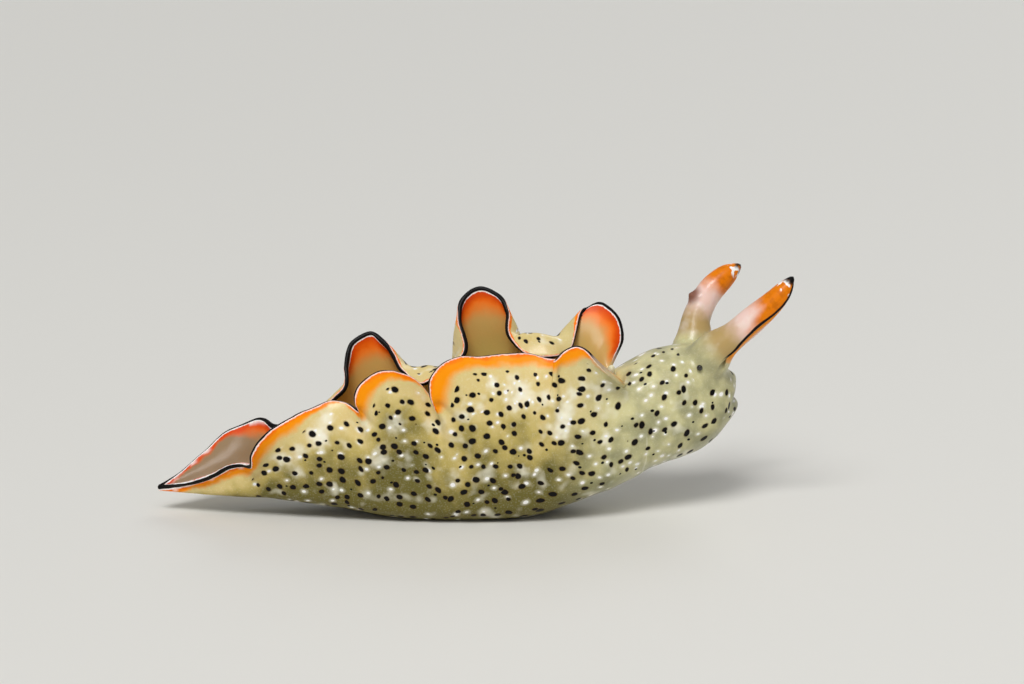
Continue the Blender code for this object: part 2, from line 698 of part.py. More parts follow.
def head_part(parts, cutters, finish, eye_finish):
    """The head: a blunt face with two soft lips, a mouth slit and a pit for each eye."""
    turns = np.linspace(0, math.pi / 2, 10)
    face = FACE_START + (NOSE - FACE_START) * np.sin(turns)
    xs = np.concatenate([[NECK_CUT + GAP / 2], face])
    halves = stubbed_halves(xs, -90.0)
    head = loft("head", closed_rings(*halves), slant_flags(*halves), section_cap(*halves), [],
                parts, finish)
    spine = Spine([NOSE - 0.25])
    ahead, left, up = np.cross(spine.left[0], spine.up[0]), spine.left[0], spine.up[0]
    mouth = spine.centre[0] - up * LIP_DROP
    lips = [ball(f"lip_{i}", mouth + left * LIP_APART * s, LIP_SIZE, (ahead, left, up),
                 cutters, finish, 14, 9)
            for i, s in enumerate((-1, 1))]
    boolean(head, "UNION", lips, holder_collection("joined_lips"))
    slit = slab("mouth", mouth + ahead * 0.9, (1.3, MOUTH_WIDTH, 3.4), (ahead, left, up),
                cutters, finish)
    pits = []
    for side in (RIGHT, LEFT):
        spine = Spine([EYE_STATION])
        place = spine.place(*spine.outline(np.array([[EYE_DEGREES]])), side)[0, 0]
        axes = (np.cross(spine.left[0], spine.up[0]), spine.left[0], spine.up[0])
        pits.append(ball(f"pit_{side}", place, [EYE_RADIUS + GAP] * 3, axes, cutters, finish, 12, 8))
        ball(f"eye_{SIDE_NAMES[side]}", place, [EYE_RADIUS] * 3, axes, parts, eye_finish, 12, 8)
    boolean(head, "DIFFERENCE", [slit, *pits], holder_collection("head_cuts"))
    keep_largest(head)


def feeler_part(side, parts, finish):
    """A feeler, cut clear of the head that it stands on."""
    rings = feeler_rings(FEELERS[side])
    count = rings.shape[1]
    cap = [tuple(range(count))]
    name = f"rhinophore_{SIDE_NAMES[side]}"
    feeler = loft(name, rings, np.zeros(count, bool), cap, cap, parts, finish)
    xs = np.concatenate([np.linspace(11, FACE_START, 6),
                         FACE_START + (NOSE - FACE_START) * np.sin(np.linspace(0.1, 1.5, 12))])
    clear = plain_body("clear_of_head", xs, GAP, parts, finish)
    boolean(feeler, "DIFFERENCE", [clear], holder_collection(f"clear_{side}"))
    keep_largest(feeler)


def heart_part(parts, finish):
    """The raised sac over the heart, on the back between the frills."""
    spine = Spine([HEART_STATION])
    ahead, left, up = np.cross(spine.left[0], spine.up[0]), spine.left[0], spine.up[0]
    top = spine.centre[0] + up * spine.half_height[0]
    heart = ball("pericardial_hump", top - up * 0.35, HEART_SIZE, (ahead, left, up), parts, finish)
    xs = np.linspace(HEART_STATION - 4.2, HEART_STATION + 4.2, 16)
    halves = stubbed_halves(xs, -90.0)
    rings = closed_rings(*halves)
    rings = rings + Spine(xs).up[:, None] * GAP
    cap = section_cap(*halves)
    clear = loft("clear_of_back", rings, slant_flags(*halves), cap, cap, parts, finish)
    boolean(heart, "DIFFERENCE", [clear], holder_collection("clear_heart"))
    keep_largest(heart)


def holder_collection(name):
    """A collection for one Boolean's meshes."""
    return bpy.data.collections.new(name)


def main():
    """Builds every part of the slug."""
    for old in list(bpy.data.objects):
        bpy.data.objects.remove(old)
    parts = bpy.data.collections.new("frilled_sea_slug")
    cutters = bpy.data.collections.new("cutters")
    bpy.context.scene.collection.children.link(parts)
    bpy.context.scene.collection.children.link(cutters)

    flesh = material("speckled_flesh", (0.62, 0.63, 0.38), 0.35)
    pale = material("pale_sole", (0.72, 0.72, 0.50), 0.4)
    frill_skin = material("banded_frill", (0.80, 0.62, 0.33), 0.35)
    orange = material("orange_feeler", (0.90, 0.42, 0.10), 0.3)
    black = material("black_eye", (0.02, 0.02, 0.02), 0.15)
    half_gap = GAP / 2

    trunk_xs = np.linspace(TAIL_CUT + half_gap, SHOULDER_CUT - half_gap, 34)
    upper_part("trunk", trunk_xs, parts, flesh)
    neck_xs = np.linspace(SHOULDER_CUT + half_gap, NECK_CUT - half_gap, 5)
    upper_part("neck", neck_xs, parts, flesh)
    foot_xs = np.linspace(TAIL_CUT + half_gap, NECK_CUT - half_gap, 30)
    foot(foot_xs, parts, pale)
    tail_share = np.linspace(0, 1, 14)
    tail_xs = TAIL_CUT - half_gap + (TAIL_TIP - TAIL_CUT + half_gap) * tail_share
    frilled_part("tail", tail_xs, parts, flesh)
    head_part(parts, cutters, flesh, black)
    heart_part(parts, flesh)
    for side in (RIGHT, LEFT):
        feeler_part(side, parts, orange)
        for name in LOBE_NAMES:
            lobe_part(side, name, parts, frill_skin)


main()
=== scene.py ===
"""Looks of a frilled, banded sea slug at life size, gliding with its head raised.

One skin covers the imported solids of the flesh: the body with its two ruffled frills, the rolled
feelers and the small knobs that grow on it. The eyes are pieces of their own. Shapes are worked
out in millimetres, in the frame's own axes, and become metres when a mesh is made.
"""

import logging
import math
from dataclasses import astuple, dataclass, field
from enum import Enum

import bmesh
import bpy
import numpy as np
from mathutils import Matrix, Vector, noise
from mathutils.kdtree import KDTree

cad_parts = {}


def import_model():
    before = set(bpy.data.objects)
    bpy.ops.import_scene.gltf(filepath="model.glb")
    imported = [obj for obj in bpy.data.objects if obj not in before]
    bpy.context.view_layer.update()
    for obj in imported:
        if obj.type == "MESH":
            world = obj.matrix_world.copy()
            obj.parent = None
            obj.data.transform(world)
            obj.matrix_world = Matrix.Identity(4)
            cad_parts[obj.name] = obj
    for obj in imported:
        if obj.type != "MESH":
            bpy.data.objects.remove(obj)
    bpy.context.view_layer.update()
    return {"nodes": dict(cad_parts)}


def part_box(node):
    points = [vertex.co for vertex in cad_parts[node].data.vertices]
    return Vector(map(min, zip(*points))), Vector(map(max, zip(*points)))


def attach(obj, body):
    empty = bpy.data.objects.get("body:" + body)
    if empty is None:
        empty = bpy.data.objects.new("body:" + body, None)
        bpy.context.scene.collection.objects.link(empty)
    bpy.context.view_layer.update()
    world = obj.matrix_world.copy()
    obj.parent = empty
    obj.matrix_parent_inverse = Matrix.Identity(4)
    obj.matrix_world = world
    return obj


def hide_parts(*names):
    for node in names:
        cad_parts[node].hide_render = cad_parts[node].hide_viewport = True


LOG = logging.getLogger("sea_slug")
MM = 0.001
FAR_MM = 12.0
FLOAT = "NodeSocketFloat"
VECTOR = "NodeSocketVector"


class Side(Enum):
    """The animal's own sides, with the sign of Y on each."""

    RIGHT = -1
    LEFT = 1


class Mark(Enum):
    """What each point of the skin knows about its place, for the finish to read."""

    HEM = "hem_mm"
    FRILL = "frill"
    INSIDE = "inside"
    GLOW = "glow"
    DOTS = "dots"
    ALONG = "along_mm"
    AROUND = "around_mm"
    LOW = "low"
    CLOUD = "cloud"
    NECK = "neck"
    FEELER = "feeler"
    EDGE = "edge_mm"
    LIP = "lip_mm"
    VEIN = "vein"


def plain_marks(shape: tuple[int, ...]) -> dict[Mark, np.ndarray]:
    """Gives each mark its value away from hems, spots and feelers, at every point of a grid."""
    values = {kind: 0.0 for kind in Mark}
    values |= {Mark.HEM: FAR_MM, Mark.EDGE: FAR_MM, Mark.LIP: FAR_MM, Mark.NECK: 1.0}
    return {kind: np.full(shape, value) for kind, value in values.items()}


def add_object(name: str, data: bpy.types.ID) -> bpy.types.Object:
    """Adds an object to the scene."""
    made = bpy.data.objects.new(name, data)
    bpy.context.scene.collection.objects.link(made)
    return made


def mesh_from(bm: bmesh.types.BMesh, name: str) -> bpy.types.Mesh:
    """Turns the edited faces into a new mesh."""
    mesh = bpy.data.meshes.new(name)
    bm.to_mesh(mesh)
    bm.free()
    return mesh


def tree_of(places: list) -> KDTree:
    """Sorts places into a tree that finds the nearest one."""
    tree = KDTree(len(places))
    for i, place in enumerate(places):
        tree.insert(place, i)
    tree.balance()
    return tree


def smooth_step(t: np.ndarray) -> np.ndarray:
    """Gives 0 below 0, 1 above 1, and an even rise between."""
    t = np.clip(t, 0.0, 1.0)
    return t * t * (3 - 2 * t)


def unit(vectors: np.ndarray) -> np.ndarray:
    """Gives the vectors at length one."""
    return vectors / np.maximum(np.linalg.norm(vectors, axis=-1, keepdims=True), 1e-9)


def through(knots: list, values: list, at: np.ndarray) -> np.ndarray:
    """Reads a smooth curve through values at rising knots.

    Args:
        knots: Rising places of the values.
        values: One value, or one row of values, at each knot.
        at: The places to read.

    Returns:
        The value, or the row of values, at each place.
    """
    knots = np.asarray(knots, float)
    values = np.asarray(values, float)
    flat = values.reshape(len(knots), -1)
    at = np.clip(np.asarray(at, float), knots[0], knots[-1])
    runs = np.diff(knots)[:, None]
    slopes = np.diff(flat, axis=0) / runs
    inner = (slopes[:-1] * runs[1:] + slopes[1:] * runs[:-1]) / (runs[1:] + runs[:-1])
    tangents = np.vstack([slopes[:1], inner, slopes[-1:]])
    i = np.clip(np.searchsorted(knots, at, side="right") - 1, 0, len(knots) - 2)
    run = (knots[i + 1] - knots[i])[:, None]
    t = (at - knots[i])[:, None] / run
    found = (
        flat[i] * (2 * t**3 - 3 * t**2 + 1)
        + tangents[i] * run * (t**3 - 2 * t**2 + t)
        + flat[i + 1] * (3 * t**2 - 2 * t**3)
        + tangents[i + 1] * run * (t**3 - t**2)
    )
    return found.reshape(len(at), *values.shape[1:])


def soft_noise(points: np.ndarray, size: float, seed: float) -> np.ndarray:
    """Reads smooth noise at each point.

    Args:
        points: Places in millimetres, in rows of three.
        size: The width of one lump of the noise, in millimetres.
        seed: Where the noise is read, so that two uses differ.

    Returns:
        One value from about -1 to 1 for each point.
    """
    flat = points.reshape(-1, 3) / size + seed
    found = [noise.noise(Vector(place)) for place in flat]
    return np.array(found).reshape(points.shape[:-1])


@dataclass(frozen=True)
class Station:
    """One cross-section of the body: where it is, and how far it reaches."""

    x: float
    y: float
    sole: float
    back: float
    half_width: float


@dataclass
class Sections:
    """The body's cross-sections at a set of places along X."""

    xs: np.ndarray
    centre: np.ndarray
    left: np.ndarray
    up: np.ndarray
    half_width: np.ndarray
    half_height: np.ndarray
    squareness: tuple[float, float]

    def place(self, out: np.ndarray, rise: np.ndarray, side: Side) -> np.ndarray:
        """Gives the points at a distance out to one side and a rise above the centre."""
        sideways = self.left * side.value
        return (
            self.centre[:, None]
            + sideways[:, None] * np.asarray(out)[..., None]
            + self.up[:, None] * np.asarray(rise)[..., None]
        )

    def outline(self, degrees: np.ndarray) -> tuple[np.ndarray, np.ndarray]:
        """Gives the distance out and the rise of the plain outline.

        Args:
            degrees: -90 at the sole, 0 at the flank and 90 on the back, a row for each section.

        Returns:
            The distance out and the rise at each of them.
        """
        angle = np.radians(degrees)
        below, above = self.squareness
        squareness = np.where(angle < 0, below, above)
        out = self.half_width[:, None] * np.maximum(np.cos(angle), 0) ** (2 / squareness)
        rise = self.half_height[:, None] * np.sign(angle)
        return out, rise * np.abs(np.sin(angle)) ** (2 / squareness)


@dataclass(frozen=True)
class BodyPlan:
    """The body without its frills, from the tail tip to the nose."""

    stations: tuple[Station, ...] = (
        Station(-23.05, 0.0, 1.55, 1.85, 0.22),
        Station(-21.0, 0.0, 1.45, 2.15, 0.85),
        Station(-18.0, 0.0, 1.30, 2.90, 1.75),
        Station(-14.5, 0.0, 1.15, 3.90, 2.60),
        Station(-10.0, 0.0, 0.60, 5.00, 3.45),
        Station(-5.0, 0.0, -0.20, 5.80, 4.05),
        Station(0.0, 0.0, -0.30, 6.20, 4.30),
        Station(4.0, 0.1, -0.05, 6.95, 4.25),
        Station(8.0, 0.4, 1.15, 9.10, 4.00),
        Station(12.0, 1.2, 2.95, 11.05, 3.70),
        Station(15.0, 2.3, 4.00, 12.40, 3.75),
        Station(17.0, 3.2, 5.40, 13.20, 3.70),
        Station(19.0, 4.2, 6.80, 14.00, 3.60),
    )
    sole_squareness: float = 2.6
    back_squareness: float = 2.15
    tail_tip: float = -23.05
    nose: float = 18.0
    face_start: float = 14.4
    face_bluntness: float = 2.7

    def middle(self, xs: np.ndarray) -> np.ndarray:
        """Gives the middle of the body at each place."""
        table = [(s.y, s.sole, s.back) for s in self.stations]
        rows = through([s.x for s in self.stations], table, xs)
        return np.column_stack([xs, rows[:, 0], (rows[:, 1] + rows[:, 2]) / 2])

    def sections(self, xs: np.ndarray) -> Sections:
        """Works out the cross-sections at each place."""
        xs = np.asarray(xs, float)
        table = [(s.sole, s.back, s.half_width) for s in self.stations]
        rows = through([s.x for s in self.stations], table, xs)
        step = 0.05
        tangent = unit(self.middle(xs + step) - self.middle(xs - step))
        left = unit(np.cross(np.array([0.0, 0.0, 1.0]), tangent))
        up = np.cross(tangent, left)
        face = np.clip((xs - self.face_start) / (self.nose - self.face_start), 0, 1)
        narrow = (1 - face**self.face_bluntness) ** (1 / self.face_bluntness)
        half_height = (rows[:, 1] - rows[:, 0]) / 2 * up[:, 2] * narrow
        squareness = (self.sole_squareness, self.back_squareness)
        return Sections(xs, self.middle(xs), left, up, rows[:, 2] * narrow, half_height, squareness)


@dataclass(frozen=True)
class Hem:
    """One point of a frill's hem, and how its sheet bends up to it.

    x, out and up are its place along the body, out from the middle and above the floor. The sheet
    first climbs from its root by a share of the hem's rise, swings out and leads ahead, then bends
    to the hem. glow is the width of the orange band, as a share of its greatest.
    """

    x: float
    out: float
    up: float
    climb: float
    swing: float = 0.4
    lead: float = 0.0
    glow: float = 1.0


@dataclass(frozen=True)
class Lobe:
    """One lobe of a frill: the stretch of root that it grows from, and its hem, front to rear."""

    root_front: float
    root_rear: float
    hem: tuple[Hem, ...]


RIGHT_LOBES = (
    Lobe(12.0, 5.9, (
        Hem(11.1, 2.4, 9.6, 0.6, glow=0.0),
        Hem(10.2, 3.2, 10.4, 0.6, glow=0.03),
        Hem(9.1, 3.4, 11.35, 0.6, glow=0.1),
        Hem(8.1, 3.2, 12.35, 0.6, glow=0.25),
        Hem(7.1, 3.0, 12.85, 0.6, glow=1.0),
        Hem(6.2, 3.1, 12.4, 0.65, 0.4, 0.3, glow=0.9),
        Hem(5.7, 3.25, 11.75, 0.65, 0.4, 0.3, glow=0.7))),
    Lobe(5.1, -2.0, (
        Hem(5.85, 2.55, 11.7, 0.6, 0.2, glow=0.55),
        Hem(4.8, 2.35, 11.85, 0.7, glow=0.7),
        Hem(3.2, 2.3, 12.15, 0.65, glow=0.8),
        Hem(1.0, 2.6, 11.95, 0.6, glow=0.8),
        Hem(-1.1, 3.0, 12.0, 0.6, glow=0.95),
        Hem(-2.5, 3.6, 11.5, 0.6, 0.4, 0.2, glow=1.3),
        Hem(-3.15, 4.2, 10.6, 0.65, 0.4, 0.6, glow=1.6),
        Hem(-3.1, 4.5, 9.6, 0.7, 0.4, 0.6, glow=1.3),
        Hem(-2.75, 4.3, 8.7, 0.7, 0.4, 0.4, glow=0.5),
        Hem(-2.65, 3.4, 8.45, 0.55, 0.2, glow=0.2))),
    Lobe(-2.8, -7.6, (
        Hem(-3.2, 2.7, 9.1, 0.55, 0.2, glow=0.1),
        Hem(-4.1, 2.5, 10.1, 0.6, glow=0.18),
        Hem(-5.4, 2.8, 10.85, 0.62, glow=0.4),
        Hem(-6.8, 3.2, 10.95, 0.6, 0.4, 0.2, glow=0.7),
        Hem(-8.0, 3.8, 10.3, 0.65, 0.4, 0.5, glow=1.1),
        Hem(-8.45, 4.2, 9.3, 0.72, 0.4, 0.8, glow=1.1),
        Hem(-8.3, 4.0, 8.5, 0.7, 0.4, 0.4, glow=0.8),
        Hem(-8.3, 3.2, 8.2, 0.55, 0.2, glow=0.4))),
    Lobe(-8.3, -15.6, (
        Hem(-8.9, 2.6, 8.5, 0.6, 0.2, glow=0.2),
        Hem(-10.2, 2.3, 8.7, 0.7, glow=0.22),
        Hem(-11.8, 2.6, 8.1, 0.62, glow=0.38),
        Hem(-13.6, 3.0, 7.3, 0.62, glow=0.85),
        Hem(-15.0, 3.5, 6.4, 0.65, 0.4, 0.3, glow=0.9),
        Hem(-15.9, 3.7, 5.1, 0.7, 0.4, 0.6, glow=0.85),
        Hem(-16.1, 3.2, 4.2, 0.8, 0.4, 0.4, glow=0.6))),
    Lobe(-16.2, -23.05, (
        Hem(-16.7, 2.5, 4.1, 0.8, glow=0.8),
        Hem(-17.6, 2.2, 3.9, 0.7, glow=0.7),
        Hem(-18.8, 1.9, 3.25, 0.7, glow=0.6),
        Hem(-20.6, 1.2, 2.45, 0.7, glow=0.4),
        Hem(-23.05, 0.15, 1.95, 0.7, glow=0.25))),
)
LEFT_LOBES = (
    Lobe(11.7, 6.4, (
        Hem(10.1, 1.9, 10.5, 0.7, glow=0.2),
        Hem(10.4, 2.7, 11.2, 0.75, 0.7, glow=0.6),
        Hem(10.6, 3.5, 12.4, 0.75, 0.8, glow=1.0),
        Hem(10.2, 4.2, 13.7, 0.6, 0.6, glow=1.1),
        Hem(9.0, 4.6, 14.5, 0.55, 0.6, glow=1.1),
        Hem(7.8, 4.2, 14.05, 0.6, 0.8, -1.5, glow=0.7),
        Hem(7.25, 3.1, 12.95, 0.85, 1.0, -1.5, glow=0.35),
        Hem(6.75, 1.8, 11.7, 1.35, 0.8, -0.5, glow=0.25))),
    Lobe(5.5, -1.4, (
        Hem(5.5, 1.0, 11.35, 1.5, 0.6, glow=0.25),
        Hem(3.7, 1.1, 11.5, 1.45, 0.6, glow=0.25),
        Hem(2.45, 2.1, 12.5, 1.05, 0.8, 1.0, glow=0.3),
        Hem(2.2, 3.6, 14.1, 0.7, 0.9, 1.9, glow=0.6),
        Hem(1.55, 4.25, 15.2, 0.6, 0.6, 1.2, glow=1.1),
        Hem(0.3, 4.6, 15.6, 0.55, glow=1.2),
        Hem(-0.95, 4.15, 14.95, 0.75, 0.8, -0.9, glow=1.1),
        Hem(-1.3, 3.4, 13.8, 0.85, 1.0, -1.6, glow=0.7),
        Hem(-0.95, 2.4, 12.6, 1.0, 0.9, -1.3, glow=0.35),
        Hem(-0.8, 1.5, 11.7, 0.95, 0.8, -0.4, glow=0.25))),
    Lobe(-2.3, -9.3, (
        Hem(-2.1, 0.3, 10.6, 0.95, 0.6, glow=0.25),
        Hem(-4.0, 0.3, 9.5, 1.3, 0.6, glow=0.25),
        Hem(-5.4, 1.5, 10.1, 1.05, 0.9, 0.5, glow=0.3),
        Hem(-6.5, 3.2, 11.6, 0.75, 0.8, 0.9, glow=0.7),
        Hem(-7.8, 4.0, 12.4, 0.55, glow=1.2),
        Hem(-9.1, 3.6, 11.7, 0.7, 0.7, glow=1.0),
        Hem(-9.5, 2.6, 10.3, 0.9, 0.9, -0.9, glow=0.6),
        Hem(-9.6, 1.3, 8.9, 1.05, 0.8, -0.5, glow=0.4))),
    Lobe(-10.1, -16.2, (
        Hem(-10.4, 0.9, 8.1, 1.1, glow=0.3),
        Hem(-12.8, 1.0, 6.4, 1.0, glow=0.3),
        Hem(-14.8, 1.9, 5.9, 0.75, glow=0.5),
        Hem(-16.3, 2.7, 6.1, 0.65, glow=0.8))),
    Lobe(-17.0, -23.05, (
        Hem(-18.0, 2.8, 5.3, 0.65, glow=0.4),
        Hem(-20.0, 2.2, 3.7, 0.65, glow=0.34),
        Hem(-21.8, 1.0, 2.5, 0.7, glow=0.26),
        Hem(-23.05, 0.15, 1.95, 0.7, glow=0.25))),
)


@dataclass(frozen=True)
class FrillPlan:
    """One side flap: where it grows, how thick it is and the line of its hem."""

    side: Side
    start: float
    root_climb_degrees: float
    lobes: tuple[Lobe, ...]
    root_climb_start: float = 3.0
    growth: float = 1.1
    root_thick: float = 0.95
    rim_thick: float = 0.36
    evenness: float = 0.15
    upright: float = 0.75
    wander: float = 0.1
    wander_size: float = 1.4
    tail_turn: float = 0.0

    def root_degrees(self, xs: np.ndarray) -> np.ndarray:
        """Gives the outline's angle where the frill's outer face leaves the body."""
        t = (xs - self.root_climb_start) / (self.start - self.root_climb_start)
        return self.root_climb_degrees * smooth_step(t)

    def hem_rows(self, xs: np.ndarray) -> np.ndarray:
        """Reads the hem at places along the root.

        Args:
            xs: Places along the root.

        Returns:
            A row of the hem's fields for each place.
        """
        places, rows = [], []
        for lobe in self.lobes:
            hem = np.array([astuple(point) for point in lobe.hem])
            runs = np.linalg.norm(np.diff(hem[:, :3], axis=0), axis=1)
            share = np.concatenate([[0], np.cumsum(runs)]) / runs.sum()
            places.extend(lobe.root_front + (lobe.root_rear - lobe.root_front) * share)
            rows.extend(hem)
        return through(np.array(places)[::-1], np.array(rows)[::-1], xs)

    def shown(self, xs: np.ndarray) -> np.ndarray:
        """Gives 0 on the neck, where there is no frill, and 1 where it stands in full."""
        return smooth_step((self.start - xs) / self.growth)


class FrillSheet:
    """A frill as a curved sheet with a thickness, read at places along its root."""

    def __init__(self, plan: FrillPlan, body: BodyPlan, xs: np.ndarray) -> None:
        """Works out the sheet's guides and how they turn at each place."""
        self.plan = plan
        self.body = body
        self.guides = self.read_guides(xs)
        ahead = self.read_guides(xs + plan.evenness)
        behind = self.read_guides(xs - plan.evenness)
        self.slopes = [a - b for a, b in zip(ahead, behind)]
        slender = body.sections(xs).half_width
        self.root_thick = np.minimum(plan.root_thick, 0.5 * slender)
        self.rim_thick = np.minimum(plan.rim_thick, 0.3 * slender)
        self.glow = plan.hem_rows(xs)[:, 6]

    def read_guides(self, xs: np.ndarray) -> list[np.ndarray]:
        """Gives the root point, the bending point and the hem point of the sheet at each place."""
        plan, side = self.plan, self.plan.side
        sections = self.body.sections(xs)
        degrees = plan.root_degrees(xs)[:, None]
        out, rise = sections.outline(degrees)
        out_next, rise_next = sections.outline(degrees + 1.0)
        skin = sections.place(out, rise, side)[:, 0]
        climb = sections.place(out_next - out, rise_next - rise, side)[:, 0] - sections.centre
        climb = unit(unit(climb) * (1 - plan.upright) + np.array([0, 0, plan.upright]))
        ahead = np.cross(sections.left, sections.up)
        outward = unit(np.cross(climb, ahead)) * side.value
        thick = np.minimum(plan.root_thick, 0.5 * sections.half_width)[:, None]
        root = skin - outward * thick / 2
        rows = plan.hem_rows(xs)
        hem = np.column_stack([rows[:, 0], rows[:, 1] * side.value, rows[:, 2]])
        reach = np.linalg.norm(hem - root, axis=1, keepdims=True)
        small = np.minimum(1, reach / 4)
        bend = root + climb * reach * rows[:, 3:4] + outward * rows[:, 4:5] * small
        bend[:, 0] += rows[:, 5]
        stray = [soft_noise(hem, plan.wander_size, seed) for seed in (3.1, 17.7, 41.3)]
        hem = hem + np.column_stack(stray) * plan.wander * small
        return [root, bend, hem]

    @staticmethod
    def weigh(guides: list[np.ndarray], v: np.ndarray) -> np.ndarray:
        """Weighs the three guides at v, from 0 at the root to 1 at the hem."""
        root, bend, hem = (g[:, None] for g in guides)
        v = v[..., None]
        return root * (1 - v) ** 2 + bend * 2 * v * (1 - v) + hem * v**2

    def rise(self, v: np.ndarray) -> np.ndarray:
        """Gives the direction from root to hem in the sheet at v."""
        root, bend, hem = self.guides
        v = v[..., None]
        return unit((bend - root)[:, None] * (1 - v) + (hem - bend)[:, None] * v)

    def face(self, v: np.ndarray, inner: bool) -> np.ndarray:
        """Gives the points of the outer or the inner face.

        Args:
            v: Shares of the way from root to hem, a row for each place along the root.
            inner: Whether the face towards the other frill is meant.

        Returns:
            The points, a row for each place.
        """
        forward = self.weigh(self.slopes, v)
        normal = unit(np.cross(forward, self.rise(v))) * -self.plan.side.value
        extra = (self.root_thick - self.rim_thick)[:, None] * (1 - v) ** 2
        half = (self.rim_thick[:, None] + extra) / 2
        return self.weigh(self.guides, v) + normal * (-half if inner else half)[..., None]

    def rim(self, steps: int) -> np.ndarray:
        """Gives the points round the hem's edge, from the outer face to the inner one."""
        one = np.ones((len(self.glow), 1))
        outer, inner = self.face(one, False), self.face(one, True)
        middle, across = (outer + inner) / 2, (outer - inner) / 2
        lift = self.rise(one) * (self.rim_thick / 2)[:, None, None]
        turns = np.radians(np.linspace(0, 180, steps + 2)[1:-1])[:, None]
        return middle + across * np.cos(turns) + lift * np.sin(turns)


@dataclass
class SkinGrid:
    """Rows and columns of skin points, with the marks at each. The columns run round a ring."""

    points: np.ndarray
    marks: dict[Mark, np.ndarray]

    def normals(self) -> np.ndarray:
        """Gives the direction out of the skin at each point."""
        along = np.gradient(self.points, axis=0)
        across = np.gradient(self.points, axis=1)
        return unit(np.cross(along, across))

    def build(self, name: str) -> bpy.types.Object:
        """Bends a flat grid into the skin and closes it.

        Args:
            name: The new object's name.

        Returns:
            The closed mesh object, in metres.
        """
        rows, cols = self.points.shape[:2]
        bm = bmesh.new()
        bmesh.ops.create_grid(bm, x_segments=cols - 1, y_segments=rows - 1, size=1.0)
        for vert in bm.verts:
            col = round((vert.co.x + 1) / 2 * (cols - 1))
            row = round((vert.co.y + 1) / 2 * (rows - 1))
            vert.co = Vector(self.points[row, col]) * MM
        bmesh.ops.remove_doubles(bm, verts=bm.verts, dist=1e-7)
        bmesh.ops.dissolve_degenerate(bm, edges=bm.edges, dist=1e-8)
        bmesh.ops.recalc_face_normals(bm, faces=bm.faces)
        return add_object(name, mesh_from(bm, name))


@dataclass(frozen=True)
class Crease:
    """A groove pressed into one flank: its line seen from the side, its width and its depth."""

    side: Side
    line: tuple[tuple[float, float], ...]
    width: float
    depth: float

    def press(self, points: np.ndarray) -> np.ndarray:
        """Gives how far each point goes in."""
        at = points[..., [0, 2]]
        near = np.full(at.shape[:-1], 99.0)
        fade = np.zeros(at.shape[:-1])
        total = len(self.line) - 1
        for i, (start, end) in enumerate(zip(self.line, self.line[1:])):
            start, run = np.array(start), np.array(end) - np.array(start)
            t = np.clip(((at - start) @ run) / (run @ run), 0, 1)
            away = np.linalg.norm(at - start - t[..., None] * run, axis=-1)
            closer = away < near
            near = np.where(closer, away, near)
            fade = np.where(closer, (i + t) / total, fade)
        ends = smooth_step(fade / 0.25) * smooth_step((1 - fade) / 0.25)
        on_side = smooth_step(points[..., 1] * self.side.value - 0.5)
        return self.depth * np.exp(-((near / self.width) ** 2)) * ends * on_side


@dataclass(frozen=True)
class Cloud:
    """A soft white patch on the flank, seen from the side."""

    x: float
    up: float
    radius: float
    strength: float = 1.0


@dataclass(frozen=True)
class FacePlan:
    """The small forms of the face, measured down from its middle and out from its midline."""

    reach: float = 2.4
    lip_drop: float = 0.6
    lip_apart: float = 0.96
    lip_width: float = 0.75
    lip_height: float = 0.65
    lip_swell: float = 0.42
    slit_width: float = 0.28
    slit_depth: float = 0.2
    groove_drop: float = 1.55
    groove_width: float = 0.38
    groove_depth: float = 0.4
    foot_drop: float = 2.3
    foot_swell: float = 0.2


@dataclass(frozen=True)
class RingSteps:
    """How many points each stretch of half a ring has."""

    belly: int = 20
    sheet: int = 22
    rim: int = 4
    back: int = 10


